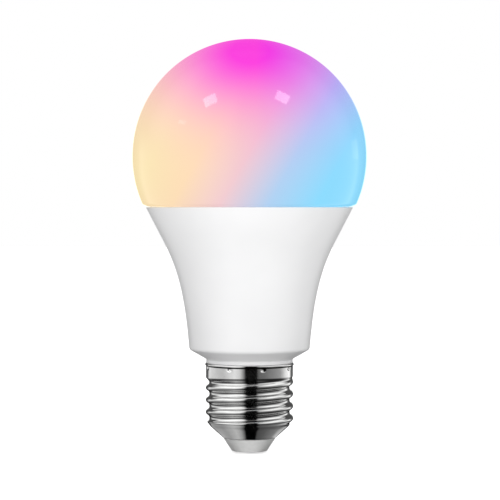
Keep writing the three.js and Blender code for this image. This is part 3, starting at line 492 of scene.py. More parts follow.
across = housing_r * np.sin(around)
in_channel = (np.abs(across) < 0.75) & (np.cos(around) < 0) & (housing_r > neck_r - 1.3)
in_channel &= housing_z < thread_top_z - 1.2
housing_r = np.where(in_channel, np.minimum(housing_r, neck_r - 1.2), housing_r)
housing_plastic, shader, node, link = new_material("satin_white_moulding")
cloudy = grain(node, 60.0, detail=2.0)
fine = grain(node, 2600.0, detail=2.0)
link(
    two_tone(node, cloudy, (0.875, 0.875, 0.88), (0.905, 0.905, 0.91)),
    shader.inputs["Base Color"],
)
link(remap(node, fine, 0.32, 0.42), shader.inputs["Roughness"])
shader.inputs["IOR"].default_value = 1.58
relief(node, link, shader, fine, 0.012, 0.35)
housing = piece_of("housing_flared_body", [(rings_of(housing_r, housing_z), True, 0)])
seat(housing, "housing_shell", "housing", housing_plastic)

# ------------------------------------------------------------------ mains wires
# Stranded copper in PVC. The live wire drops to the contact's stem; the neutral one turns up its
# channel in the neck, where the screw shell grips its bare end.


def curve_through(points, per_span=8):
    """A smooth path through the points. Between P1 and P2 it is the cubic with slopes
    (P2 - P0) / 2 and (P3 - P1) / 2."""
    p = np.array(points, float)
    p = np.concatenate([[2 * p[0] - p[1]], p, [2 * p[-1] - p[-2]]])
    t = np.linspace(0, 1, per_span, endpoint=False)[None, :, None]
    a, b, c, d = (p[i : len(p) - 3 + i][:, None] for i in range(4))
    path = (
        b + t * (c - a) / 2 + t**2 * (a - 2.5 * b + 2 * c - d / 2)
        + t**3 * (1.5 * (b - c) + (d - a) / 2)
    )
    return np.concatenate([path.reshape(-1, 3), p[-2:-1]])


def tube(path, radius, sides=12, kind=0, hint=(0.13, 0.97, 0.21)):
    """Rings of one radius round a path, or of a radius for each point. Each ring lies in the
    plane of two directions at right angles to the path."""
    way = np.gradient(path, axis=0)
    way /= np.linalg.norm(way, axis=1)[:, None]
    side = np.cross(hint, way)
    side /= np.linalg.norm(side, axis=1)[:, None]
    up = np.cross(way, side)
    a = np.arange(sides) * 2 * np.pi / sides
    radius = np.broadcast_to(radius, len(path))[:, None, None]
    ring = np.cos(a)[:, None] * side[:, None] + np.sin(a)[:, None] * up[:, None]
    return path[:, None] + radius * ring, False, kind


def plastic(name, dark, light, rough, scale=900.0, depth=0.015):
    """Moulded plastic: two close tones in fine grain, which also varies its gloss."""
    material, shader, node, link = new_material(name)
    specks = grain(node, scale, detail=4.0)
    link(two_tone(node, specks, dark, light), shader.inputs["Base Color"])
    link(remap(node, specks, rough - 0.05, rough + 0.07), shader.inputs["Roughness"])
    relief(node, link, shader, specks, depth, 0.4)
    return material


def metal(name, dark, light, rough, stretch=(1, 1, 1), scale=300.0):
    """Bare metal: two close tones in noise that is drawn out along the way it was worked."""
    material, shader, node, link = new_material(name)
    shader.inputs["Metallic"].default_value = 1.0
    lines = grain(node, scale, stretch, detail=5.0)
    link(two_tone(node, lines, dark, light), shader.inputs["Base Color"])
    link(remap(node, lines, rough - 0.06, rough + 0.08), shader.inputs["Roughness"])
    relief(node, link, shader, lines, 0.01, 0.3)
    return material


tinned = metal("tinned_copper_lead", (0.62, 0.62, 0.60), (0.80, 0.79, 0.77), 0.28)
live_pvc = plastic("red_wire_insulation", (0.42, 0.02, 0.02), (0.52, 0.035, 0.03), 0.42)
neutral_pvc = plastic("black_wire_insulation", (0.018, 0.018, 0.02), (0.035, 0.035, 0.038), 0.45)
board_low, board_high = (np.array(v) * 1000 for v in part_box("driver_board"))
board_y = board_low[1]
tongue_z = board_low[2]
live_r = 0.6
live_path = curve_through([
    [4.4, board_y - live_r - 0.2, tongue_z + 1.2],
    [4.1, board_y - live_r - 0.2, tongue_z - 1.5],
    [1.6, 0.4, (tongue_z + plug_top_z) / 2],
    [0.1, 0, plug_top_z + 1.2],
    [0, 0, stem_top_z + 0.3],
])
live_strand_r = 0.3
live = piece_of("live_wire_insulated", [
    tube(live_path[2:-3], live_r, kind=0), tube(live_path, live_strand_r, kind=1),
])
seat(live, "live_wire", "live_insulation", live_pvc, tinned)
neutral_r = 0.45
in_channel_r = neck_bore_r + 1.3
neutral_path = curve_through([
    [-5.5, board_y - neutral_r - 0.2, tongue_z + 1.0],
    [-5.9, board_y - neutral_r - 0.4, tongue_z - 1.6],
    [-7.4, 0.3, neck_foot_z - 1.0],
    [0.5 - in_channel_r, 0, neck_foot_z - 0.9],
    [-in_channel_r, 0, neck_foot_z],
    [-in_channel_r, 0, neck_foot_z + 1.5],
    [-in_channel_r, 0, thread_top_z - 1.9],
])
neutral = piece_of(
    "neutral_wire_insulated",
    [tube(neutral_path[2:-5], neutral_r, kind=0), tube(neutral_path, 0.26, kind=1)],
)
seat(neutral, "neutral_wire", "neutral_insulation", neutral_pvc, tinned)

# ------------------------------------------------------------------ driver board and sleeve
# Green fibreglass board on edge, in a clear insulating sleeve with rails. Its parts' leads pass
# through it and are soldered on its back, where the small chip parts sit too.


def finish(names, material):
    """Gives CAD nodes a material in all their slots."""
    for name in names:
        for place in nodes[name].material_slots:
            place.material = material


def coated_laminate(name, dark, light):
    """Green coat over glass cloth: the cloth's weave shows as two crossed sets of fine threads,
    each drawn out along one way."""
    material, shader, node, link = new_material(name)
    warp = grain(node, 500.0, (1, 1, 12), 2.0)
    weft = grain(node, 500.0, (12, 1, 1), 2.0)
    weave = node("ShaderNodeMath", {0: warp, 1: weft}, operation="MAXIMUM").outputs[0]
    link(two_tone(node, weave, dark, light), shader.inputs["Base Color"])
    link(remap(node, weave, 0.24, 0.38), shader.inputs["Roughness"])
    relief(node, link, shader, weave, 0.02, 0.4)
    return material


green_mask = coated_laminate("green_coated_laminate", (0.008, 0.075, 0.026), (0.016, 0.115, 0.042))
finish(["driver_board"], green_mask)
sleeve_plastic, shader, node, link = new_material("clear_sleeve_plastic")
haze = grain(node, 120.0, (1, 1, 0.2))
link(two_tone(node, haze, (0.55, 0.57, 0.58), (0.68, 0.70, 0.70)), shader.inputs["Base Color"])
link(remap(node, haze, 0.3, 0.42), shader.inputs["Roughness"])
shader.inputs["Transmission Weight"].default_value = 0.55
relief(node, link, shader, haze, 0.03, 0.3)
finish(["driver_sleeve"], sleeve_plastic)

back_y = board_high[1]
solder = metal("solder", (0.60, 0.60, 0.60), (0.78, 0.78, 0.77), 0.2, scale=700.0)


def square_ring(half_x, half_y, corner, z, steps=5):
    """A rounded rectangle at height z: quarter circles round its four corner centres."""
    a = (np.arange(4)[:, None] + np.linspace(0, 1, steps)) * np.pi / 2
    x = np.array([[1], [-1], [-1], [1]]) * (half_x - corner) + corner * np.cos(a)
    y = np.array([[1], [1], [-1], [-1]]) * (half_y - corner) + corner * np.sin(a)
    return np.stack([x, y, np.full_like(x, z)], axis=2).reshape(-1, 3)


def lofted(half_x, half_y, levels, steps=5):
    """Rounded rectangles one above another: each level is an inset, a corner radius and a
    height, and the skin runs through them in their order."""
    return np.stack([
        square_ring(half_x - inset, half_y - inset, corner, z, steps) for inset, corner, z in levels
    ])


def slab(half_x, half_y, low_z, high_z, edge=0.08, corner=0.15, steps=3):
    """A block with eased edges."""
    return lofted(half_x, half_y, [
        (edge, corner, low_z), (0, corner, low_z + edge), (0, corner, high_z - edge),
        (edge, corner, high_z),
    ], steps)


def carried(grid, x_way, y_way, z_way, at):
    """Takes a grid's x, y and z along three directions, from a point."""
    return grid @ np.array([x_way, y_way, z_way], float) + np.array(at, float)


def facing_back(grid, x, z):
    """Stands a grid made along Z on the board's back face, at x and z."""
    return carried(grid, (-1, 0, 0), (0, 0, 1), (0, 1, 0), (x, back_y, z))


def box_mm(name):
    """A node's lowest and highest corners in millimetres."""
    return tuple(np.array(corner) * 1000 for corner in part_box(name))


def middle_of(name):
    """The middle of a node's box in millimetres."""
    return sum(box_mm(name)) / 2


joint_outline = np.array([
    [0, 0], [0.75, 0], [0.72, 0.12], [0.42, 0.3], [0.3, 0.62], [0.2, 0.8], [0, 0.8],
])
leads = []
for name in ("output_capacitor", "input_capacitor", "filter_capacitor"):
    low, high = box_mm(name)
    middle, half = (low[0] + high[0]) / 2, (high[0] - low[0]) / 2
    leads += [(middle + side * half * 0.35, low[2] + 0.25) for side in (-1, 1)]
low, high = box_mm("fuse_resistor")
leads += [((low[0] + high[0]) / 2, z) for z in (low[2] + 0.25, high[2] - 0.25)]
low, high = box_mm("pin_header")
leads += [((i - 1.5) * 2.54, low[2] + 1.2) for i in range(4)]
for name in ("choke_core", "transformer_bobbin"):
    low, high = box_mm(name)
    leads += [((low[0] + high[0]) / 2 + side * 2, low[2] - 0.9) for side in (-1, 1)]
dome, _, _ = turned(joint_outline, 14)
joints = piece_of("driver_board_solder", [(facing_back(dome, x, z), False, 0) for x, z in leads])
joints.data.materials.append(solder)
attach(joints, "root")


def route(start, end):
    """Corners of a track in x and z: straight out, across at 45 degrees, and straight in."""
    start, end = np.array(start, float), np.array(end, float)
    gap = end - start
    major = int(abs(gap[1]) > abs(gap[0]))
    lead = (abs(gap[major]) - abs(gap[1 - major])) / 2 * np.sign(gap[major]) * np.eye(2)[major]
    corners = np.stack([start, start + lead, end - lead, end])
    return corners[np.append(True, np.linalg.norm(np.diff(corners, axis=0), axis=1) > 1e-6)]


def track(corners, width, thick, out):
    """A flat strip along the corners, on the board's back face with out at 1 and on
    its front with out at -1. At a bend its side is (s + t) / (1 + s . t), from the sides s and t
    of the two straight runs that meet there."""
    way = np.diff(corners, axis=0)
    side = np.stack([-way[:, 1], way[:, 0]], axis=1) / np.linalg.norm(way, axis=1)[:, None]
    before, after = side[[0, *range(len(side))]], side[[*range(len(side)), -1]]
    side = (before + after) / (1 + (before * after).sum(axis=1))[:, None] * width / 2
    face_y = back_y if out > 0 else board_low[1]
    ring = [
        (corners + side, 0), (corners + side, thick),
        (corners - side, thick), (corners - side, 0),
    ]
    edges = [np.insert(edge, 1, face_y + out * lift, axis=1) for edge, lift in ring[::out]]
    return np.stack(edges, axis=1)


bridge, controller, regulator = (
    middle_of(name)[[0, 2]] for name in ("bridge_rectifier", "driver_ic", "regulator_ic")
)
# Each net is a track's two ends in x and z, and its width.
nets = [
    ((4.4, 16.1), leads[6], 1.2), (leads[7], bridge + (2.4, -1.25), 1.2),
    ((-5.5, 15.9), (-7.2, 27.0), 1.2),
    ((-7.2, 27.0), bridge + (-2.4, -1.25), 1.2), (bridge + (-2.4, 1.25), leads[2], 0.9),
    (bridge + (2.4, 1.25), (-0.8, 38.4), 0.7), ((-0.8, 38.4), controller + (-2.4, 0.6), 0.5),
    ((-0.8, 35.2), controller + (-2.4, -0.6), 0.5), (controller + (-2.4, 1.9), leads[12], 0.5),
    (controller + (2.4, 1.9), (9.6, 45.0), 0.5), (controller + (2.4, 0.6), (9.6, 42.0), 0.5),
    (controller + (2.4, -1.9), (9.4, 34.6), 0.5), (leads[13], (0.6, 44.6), 0.6),
    ((-2.2, 44.6), (-8.6, 49.6), 0.5),
    ((-8.6, 52.0), regulator + (-1.85, 0.95), 0.5), (regulator + (1.85, 0.95), leads[8], 0.7),
    (regulator + (1.85, 0), leads[9], 0.5), ((-9.4, 43.4), (-8.6, 49.6), 0.4),
    (leads[0], (1.6, 58.6), 0.9),
    (leads[1], (9.6, 45.0), 0.9), ((12.4, 35.0), (12.4, 60.5), 1.4),
    ((-12.4, 35.0), (-12.4, 60.5), 1.4),
]
strips = []
for i, (start, end, width) in enumerate(nets):
    thick = 0.03 + 0.001 * i
    strips += [(track(route(start, end), width, thick, out), False, 0) for out in (1, -1)]
copper_under = coated_laminate("tracks_under_green_coat", (0.022, 0.16, 0.05), (0.035, 0.21, 0.07))
tracks = piece_of("driver_board_tracks", strips, flat=True)
tracks.data.materials.append(copper_under)
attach(tracks, "root")

ceramic = plastic("chip_part_ceramic", (0.20, 0.14, 0.09), (0.30, 0.21, 0.14), 0.5)
thick_film = plastic("chip_part_black_film", (0.012, 0.012, 0.013), (0.03, 0.03, 0.03), 0.35)
small_parts = []
for x, z, long, wide, tall, kind in (
    (-8.6, 52.0, 1.0, 0.62, 0.55, 1), (-8.6, 49.6, 1.0, 0.62, 0.55, 1),
    (-2.2, 44.6, 1.0, 0.62, 0.6, 0),
    (0.6, 44.6, 1.0, 0.62, 0.6, 0), (-9.4, 43.4, 1.0, 0.62, 0.55, 1),
    (9.6, 42.0, 1.0, 0.62, 0.55, 1),
    (9.6, 45.0, 1.6, 0.8, 0.6, 0), (-0.8, 35.2, 1.0, 0.62, 0.55, 1),
    (-0.8, 38.4, 1.0, 0.62, 0.6, 0),
    (9.4, 34.6, 1.0, 0.62, 0.55, 1),
):
    small_parts.append((facing_back(slab(long - 0.3, wide, 0.04, tall), x, z), False, kind))
    for side in (-1, 1):
        cap = slab(0.22, wide + 0.03, 0.02, tall + 0.03)
        small_parts.append((facing_back(cap, x + side * (long - 0.2), z), False, 2))
chips = piece_of("driver_board_chip_parts", small_parts, flat=True)
for material in (ceramic, thick_film, solder):
    chips.data.materials.append(material)
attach(chips, "root")

# ------------------------------------------------------------------ electrolytic capacitors
# Aluminium cans, crimped over a rubber bung and wearing a shrunk sleeve with a pale stripe at
# the minus lead. The bare top is scored so that it can open under pressure.


def can_sleeve(name, middle_x, middle_y):
    """Shrunk film: dark blue, with a pale stripe where the bearing round the can is near +X."""
    material, shader, node, link = new_material(name)
    place = node("ShaderNodeTexCoord").outputs["Object"]
    centred = node(
        "ShaderNodeMapping", {"Vector": place, "Location": (-middle_x / 1000, -middle_y / 1000, 0)}
    ).outputs["Vector"]
    part = node("ShaderNodeSeparateXYZ", {"Vector": centred}).outputs
    stripe = near(node, maths(node, "ARCTAN2", part["Y"], part["X"]), 0.0, 0.36, 0.40)
    film = two_tone(node, grain(node, 500.0), (0.012, 0.022, 0.075), (0.02, 0.035, 0.11))
    link(mixed(node, stripe, film, (0.42, 0.50, 0.62, 1)), shader.inputs["Base Color"])
    link(remap(node, grain(node, 60.0), 0.18, 0.3), shader.inputs["Roughness"])
    relief(node, link, shader, grain(node, 260.0, (1, 1, 0.15)), 0.03, 0.4)
    return material


can_metal = metal("capacitor_can_aluminium", (0.70, 0.71, 0.72), (0.84, 0.84, 0.85), 0.3)
rubber = plastic("bung_rubber", (0.012, 0.012, 0.012), (0.03, 0.03, 0.03), 0.6)


def electrolytic(node_name, name):
    """Sleeve, bare top and bung as separate skins, each turned round the can's own axis, and two
    leads that bend back to the board."""
    low, high = box_mm(node_name)
    r = (high[0] - low[0]) / 2
    x, y, foot = low[0] + r, low[1] + r, low[2] + 1.2
    tall = high[2] - foot
    sleeve = rounded([
        [r - 0.75, 0.05, 0], [r - 0.12, 0.05, 0.1], [r - 0.02, 0.35, 0.2], [r - 0.02, 1.15, 0.25],
        [r - 0.38, 1.6, 0.35], [r - 0.02, 2.05, 0.25], [r - 0.02, tall - 0.5, 0.3],
        [r - 0.42, tall - 0.06, 0.2], [r - 1.0, tall - 0.02, 0.05], [r - 1.0, tall - 0.12, 0.03],
        [r - 0.6, tall - 0.2, 0], [r - 0.6, 0.12, 0],
    ])
    rings = np.linspace(0.08, r - 0.65, 14)[::-1]
    angle = np.arange(72) * 2 * np.pi / 72
    top_x, top_y = rings[:, None] * np.cos(angle), rings[:, None] * np.sin(angle)
    near_line = np.minimum(np.abs(top_x), np.abs(top_y))
    score = 0.12 * np.exp(-((near_line / 0.16) ** 2)) * (rings[:, None] < r - 1.2)
    top = np.stack([top_x, top_y, tall - 0.1 - score], axis=2)
    side = np.stack([top_x[0], top_y[0], np.full_like(angle, 0.6)], axis=1)[None]
    bung, _, _ = turned(rounded([
        [0, 0.02, 0], [r - 0.8, 0.02, 0.1], [r - 0.8, 0.5, 0.1], [0, 0.5, 0],
    ]), 48)
    at = np.array([x, y, foot])
    skins = [
        (turned(sleeve, 72)[0] + at, True, 0),
        (np.concatenate([side, top]) + at, False, 1),
        (bung + at, False, 2),
    ]
    for side in (-1, 1):
        bend = curve_through([
            [x + side * r * 0.35, y, foot + 0.4], [x + side * r * 0.35, y, foot - 0.35],
            [x + side * r * 0.35, y + 0.45, foot - 0.9],
            [x + side * r * 0.35, y + 1.2, foot - 0.95],
            [x + side * r * 0.35, board_y - 0.05, foot - 0.95],
        ], 4)
        skins.append(tube(bend, 0.25, 8, kind=3, hint=(1, 0, 0)))
    piece = piece_of(name, skins)
    film = can_sleeve(name + "_film", x, y)
    seat(piece, node_name, "capacitor_can", film, can_metal, rubber, tinned)


electrolytic("output_capacitor", "output_capacitor_can")
electrolytic("input_capacitor", "input_capacitor_can")
electrolytic("filter_capacitor", "filter_capacitor_can")

# ------------------------------------------------------------------ transformer
# Pressed ferrite core, cemented round a nylon bobbin. Its windings end in a wrap of yellow
# polyester tape, whose last turn overlaps itself.
ferrite = plastic("pressed_ferrite", (0.028, 0.028, 0.03), (0.055, 0.055, 0.06), 0.5, 1400.0, 0.05)
nylon = plastic("black_nylon", (0.014, 0.014, 0.015), (0.028, 0.028, 0.03), 0.4)
finish(["transformer_core"], ferrite)
finish(["transformer_bobbin", "pin_header"], nylon)
low, high = box_mm("transformer_winding")
half_x, half_y = (high[:2] - low[:2]) / 2
rows = np.linspace(low[2] + 0.1, high[2] - 0.1, 46)
turns = 0.05 * np.abs(np.sin((rows - low[2]) * np.pi / 0.42))
levels = [(0.06 + 0.05 - turn, 1.2, z) for turn, z in zip(turns, rows)]
wrap = lofted(half_x, half_y, levels, 7)
inside = np.stack([square_ring(2.32, 3.47, 0.25, z, 7) for z in (high[2] - 0.1, low[2] + 0.1)])
centre = [(low[0] + high[0]) / 2, (low[1] + high[1]) / 2, 0]
tape, shader, node, link = new_material("yellow_polyester_tape")
film = grain(node, 240.0, (1, 1, 5))
link(two_tone(node, film, (0.72, 0.42, 0.03), (0.82, 0.52, 0.05)), shader.inputs["Base Color"])
link(remap(node, film, 0.16, 0.28), shader.inputs["Roughness"])
relief(node, link, shader, film, 0.03, 0.4)
wound = np.concatenate([wrap, inside]) + centre
winding = piece_of("transformer_winding_taped", [(wound, True, 0)])
seat(winding, "transformer_winding", "winding_tape", tape)

# ------------------------------------------------------------------ filter choke
# Ferrite drum with enamelled copper wire laid in its waist, turn beside turn.
enamelled = metal("enamelled_copper", (0.60, 0.20, 0.07), (0.75, 0.30, 0.11), 0.22, (1, 1, 4))
low, high = box_mm("choke_core")
r = (high[0] - low[0]) / 2
middle = np.array([(low[0] + high[0]) / 2, (low[1] + high[1]) / 2, low[2]])
tall = high[2] - low[2]
cheek = 1.4
drum = turned(rounded([
    [0, 0, 0], [r, 0, 0.25], [r, cheek, 0.2], [1.8, cheek, 0.15], [1.8, tall - cheek, 0.15],
    [r, tall - cheek, 0.2], [r, tall, 0.25], [0, tall, 0],
]), 72)[0]
seat(piece_of("choke_drum", [(drum + middle, False, 0)]), "choke_core", "ferrite", ferrite)
foot, top = cheek + 0.12, tall - cheek - 0.12
spin = np.arange(72) * 2 * np.pi / 72
climb = np.linspace(foot, top, 96)
wire_pitch = 0.44
lay = (climb[:, None] / wire_pitch - spin[None, :] / (2 * np.pi)) % 1.0 - 0.5
laid = r - 0.3 - wire_pitch / 2 + np.sqrt((wire_pitch / 2) ** 2 - (lay * wire_pitch) ** 2 * 0.98)
laid_z = climb[:, None] * np.ones((1, 72))
hub = np.full((2, 72), 1.92)
hub_z = np.array([[top], [foot]]) * np.ones((1, 72))
coil = rings_of(np.concatenate([laid, hub]), np.concatenate([laid_z, hub_z])) + middle
seat(piece_of("choke_winding_laid", [(coil, True, 0)]), "choke_winding", "copper", enamelled)

# ------------------------------------------------------------------ resistor and coated discs
# A fusible resistor in green cement with value rings, and two blue epoxy-dipped discs: the
# varistor across the mains and the safety capacitor.
low, high = box_mm("fuse_resistor")
r = (high[0] - low[0]) / 2
x, y, foot = low[0] + r, low[1] + r, low[2] + 1.2
barrel = turned(rounded([
    [0, 0, 0], [r * 0.8, 0, 0.3], [r, 0.5, 0.3], [r, 1.5, 0.4], [r - 0.22, 2.0, 0.4],
    [r - 0.22, 6.0, 0.4], [r, 6.5, 0.4], [r, 7.5, 0.3], [r * 0.8, 8.0, 0.3], [0, 8.0, 0],
]), 48)[0] + np.array([x, y, foot])
cement, shader, node, link = new_material("ringed_green_cement")
coat, black = (0.07, 0.26, 0.13), (0.03, 0.03, 0.03)
brown, gold = (0.25, 0.10, 0.03), (0.62, 0.45, 0.12)
banding = ramp_of(node, spread(node, height_of(node), foot / 1000, (foot + 8) / 1000), [
    (0.0, coat), (0.14, black), (0.21, coat), (0.34, brown), (0.41, coat), (0.52, black),
    (0.59, coat), (0.76, gold), (0.83, coat),
])
banding.color_ramp.interpolation = "CONSTANT"
link(banding.outputs["Color"], shader.inputs["Base Color"])
link(remap(node, grain(node, 700.0), 0.4, 0.55), shader.inputs["Roughness"])
relief(node, link, shader, grain(node, 700.0), 0.05, 0.5)
skins = [(barrel, False, 0)]
for end, way in ((foot, -1), (foot + 8, 1)):
    skins.append(tube(curve_through([
        [x, y, end - way * 0.4], [x, y, end + way * 0.4], [x, y + 0.4, end + way * 0.92],
        [x, board_y - 0.05, end + way * 0.95],
    ], 4), 0.25, 8, kind=1, hint=(1, 0, 0)))
seat(piece_of("fuse_resistor_barrel", skins), "fuse_resistor", "resistor_body", cement, tinned)

epoxy = plastic("dipped_blue_epoxy", (0.015, 0.06, 0.24), (0.025, 0.085, 0.32), 0.25, 200.0, 0.12)


def dipped_disc(node_name, name, r, thick):
    """A disc with soft edges, standing behind the board on two leads. Its radius dips where the
    coat runs down the leads."""
    low, high = box_mm(node_name)
    x, z = (low[0] + high[0]) / 2, high[2] - r
    angle = np.arange(56) * 2 * np.pi / 56
    levels = np.array([
        [0.35, 0.0], [0.8, 0.03], [0.93, 0.16], [0.985, 0.32], [1.0, 0.5], [0.985, 0.68],
        [0.93, 0.84], [0.8, 0.97], [0.35, 1.0],
    ])
    radius = levels[:, :1] * r * np.ones((1, 56))
    grid = rings_of(radius, levels[:, 1:] * thick * np.ones((1, 56)))
    body = carried(grid, (-1, 0, 0), (0, 0, 1), (0, 1, 0), (x, high[1] - thick, z))
    skins = [(body, False, 0)]
    for side in (-1, 1):
        lx = x + side * r * 0.55
        y = high[1] - thick * 0.5
        skins.append(tube(curve_through([
            [lx, y, z - r * 0.5], [lx, y, z - r - 0.4], [lx, y - 0.5, z - r - 1.2],
            [lx, back_y + 0.05, z - r - 1.35],
        ], 5), 0.25, 8, kind=1, hint=(1, 0, 0)))
        collar = np.array([[lx, y, z - r * 0.75], [lx, y, z - r - 0.1], [lx, y, z - r - 0.5]])
        skins.append(tube(collar, [0.6, 0.45, 0.28], 10, kind=0, hint=(1, 0, 0)))
    seat(piece_of(name, skins), node_name, "disc_coating", epoxy, tinned)


dipped_disc("varistor", "varistor_disc", 3.4, 3.2)
dipped_disc("safety_capacitor", "safety_capacitor_disc", 3.2, 2.8)

# ------------------------------------------------------------------ chips
# The bridge rectifier, the switching controller and the 3.3 V regulator: black epoxy bodies with
# drafted sides and a first-pin dimple, and tinned gull-wing legs soldered to the board's back.
epoxy_black = plastic(
    "chip_epoxy", (0.014, 0.014, 0.015), (0.027, 0.027, 0.028), 0.48, 1800.0, 0.02
)


def chip(node_name, name, width, tall, thick, legs, leg_pitch):
    """A drafted body of two mirrored halves, and legs that leave at its middle height, step
    down and lie flat on the board."""
    low, high = box_mm(node_name)
    x, z = (low[0] + high[0]) / 2, (low[2] + high[2]) / 2
    half = thick / 2
    body = lofted(width / 2, tall / 2, [
        (0.16, 0.05, 0.12), (0.10, 0.05, 0.18), (0.0, 0.05, 0.1 + half), (0.12, 0.05, 0.04 + thick),
        (0.18, 0.05, 0.1 + thick),
    ], 3)
    skins = [(facing_back(body, x, z), False, 0)]
    dot = turned(np.array([
        [0, -0.05], [0.3, -0.05], [0.3, 0.012], [0.22, 0.012], [0.15, -0.03], [0, -0.03],
    ]), 20)[0]
    dot_at = (width / 2 - 0.65, tall / 2 - 0.65, thick + 0.1)
    skins.append((facing_back(dot + np.array(dot_at), x, z), False, 0))
    for side in (-1, 1):
        for i in range(legs):
            along = (i - (legs - 1) / 2) * leg_pitch
            bend = np.array([
                [side * (width / 2 - 0.15), along, half + 0.05],
                [side * (width / 2 + 0.22), along, half + 0.05],
                [side * (width / 2 + 0.34), along, half - 0.05],
                [side * (width / 2 + 0.42), along, 0.2],
                [side * (width / 2 + 0.52), along, 0.1], [side * (width / 2 + 0.9), along, 0.1],
            ])
            ring = np.array([[0, -0.2, -0.08], [0, 0.2, -0.08], [0, 0.2, 0.08], [0, -0.2, 0.08]])
            leg = bend[:, None] + (ring if side > 0 else ring[::-1])
            skins.append((facing_back(leg, x, z), False, 1))
    seat(piece_of(name, skins, flat=True), node_name, "black_moulding", epoxy_black, tinned)


chip("bridge_rectifier", "bridge_rectifier_chip", 4.0, 4.8, 1.5, 2, 2.5)
chip("driver_ic", "driver_controller_chip", 3.9, 4.9, 1.4, 4, 1.27)
chip("regulator_ic", "regulator_chip", 2.9, 3.0, 1.1, 3, 0.95)

# ------------------------------------------------------------------ heat sink and thermal pad
# Deep-drawn aluminium cup that lines the housing, with the turned flange that the LED board is
# screwed to over a soft grey pad.
spun = metal("spun_aluminium", (0.66, 0.67, 0.68), (0.82, 0.83, 0.84), 0.3, (1, 1, 30), 90.0)
finish(["heat_sink_cup"], spun)
finish(["thermal_pad"], plastic(
    "filled_silicone_pad", (0.22, 0.24, 0.26), (0.31, 0.33, 0.35), 0.65, 1500.0, 0.05
))

# ------------------------------------------------------------------ LED board
# Aluminium-core board under white mask. Each LED sits on its own solder, and the mask shows the
# ring of copper that joins them as a low ridge.
white_mask, shader, node, link = new_material("white_masked_board")
from_axis = from_axis_of(node)
ridges = []
for led, inward in (("warm_led_1", 2.4), ("rgb_led_1", 3.4)):
    ring_r = float(np.hypot(*middle_of(led)[:2])) - inward
    ridges.append(near(node, from_axis, ring_r / 1000, 0.0003, 0.00045))
ridge = maths(node, "MAXIMUM", *ridges)
mask = two_tone(node, grain(node, 400.0), (0.80, 0.80, 0.79), (0.87, 0.87, 0.86))
link(mixed(node, ridge, mask, (0.70, 0.69, 0.66, 1)), shader.inputs["Base Color"])
link(remap(node, grain(node, 900.0), 0.3, 0.42), shader.inputs["Roughness"])
relief(node, link, shader, ridge, 0.06, 0.7)
finish(["led_board"], white_mask)

# ------------------------------------------------------------------ LEDs
# White surface-mount packages: six warm and six cool ones with a phosphor-filled well, and four
# with a red, a green and a blue die under clear gel. Each stands on two or more solder fillets.
package = plastic("white_package_moulding", (0.78, 0.78, 0.76), (0.86, 0.86, 0.85), 0.35)


def phosphor(name, dark, light):
    """Silicone filled with phosphor grains."""
    material, shader, node, link = new_material(name)
    specks = grain(node, 5000.0, detail=5.0)
    link(two_tone(node, specks, dark, light), shader.inputs["Base Color"])
    shader.inputs["Subsurface Weight"].default_value = 0.2
    shader.inputs["Subsurface Scale"].default_value = 0.0003
    link(remap(node, specks, 0.22, 0.34), shader.inputs["Roughness"])
    relief(node, link, shader, specks, 0.02, 0.4)
    return material


warm_fill = phosphor("warm_phosphor", (0.80, 0.30, 0.02), (0.90, 0.42, 0.05))
cool_fill = phosphor("cool_phosphor", (0.78, 0.68, 0.10), (0.86, 0.78, 0.20))
half_deep, half_wide, high_led = 1.4, 1.75, 0.75
frame_levels = [
    (0.04, 0.08, 0.06), (0.0, 0.1, 0.1), (0.0, 0.1, high_led - 0.06), (0.05, 0.1, high_led),
    (0.26, 0.16, high_led), (0.30, 0.18, high_led - 0.03), (0.40, 0.22, 0.45), (0.41, 0.22, 0.44),
]
fill_levels = [
    (0.42, 0.2, 0.42), (0.385, 0.2, 0.55), (0.37, 0.2, 0.64),
    (0.5, 0.25, 0.655), (0.9, 0.25, 0.67),
]
led_frame = lofted(half_deep, half_wide, frame_levels, 4)
led_fill = lofted(half_deep, half_wide, fill_levels, 4)
foot_strip = slab(half_deep - 0.25, 0.42, 0.0, 0.2, 0.03, 0.05)
fillets = []


def on_ring(grid, angle, x, y, z):
    """Turns a grid so that its x points away from the axis, and sets it on the board."""
    c, s = math.cos(angle), math.sin(angle)
    return carried(grid, (c, s, 0), (-s, c, 0), (0, 0, 1), (x, y, z))


def fillet_ramp(half_long, reach=0.4, tall=0.32):
    """Solder that climbs a terminal: rings of a rounded strip that narrow with height."""
    return np.stack([
        square_ring(half_long - inset * 0.5, max(reach - inset, 0.06), 0.05, z, 3)
        for inset, z in ((0, 0), (0.03, 0.05), (0.16, 0.12), (0.26, 0.22), (0.34, tall))
    ])


for kind, fill in (("warm", warm_fill), ("cool", cool_fill)):
    for i in range(1, 7):
        node_name = f"{kind}_led_{i}"
        low, high = box_mm(node_name)
        x, y = (low[:2] + high[:2]) / 2
        angle = math.atan2(y, x)
        skins = [
            (on_ring(led_frame, angle, x, y, low[2]), False, 0),
            (on_ring(led_fill, angle, x, y, low[2]), False, 1),
        ]
        for side in (-1, 1):
            strip = foot_strip + np.array([0, side * (half_wide - 0.40), 0])
            skins.append((on_ring(strip, angle, x, y, low[2]), False, 2))
            ramp = fillet_ramp(half_deep - 0.2) + np.array([0, side * (half_wide + 0.08), 0])
            fillets.append((on_ring(ramp, angle, x, y, low[2] - 0.04), False, 0))
        piece = piece_of(f"{node_name}_package", skins, flat=True)
        seat(piece, node_name, f"{kind}_led", package, fill, tinned)

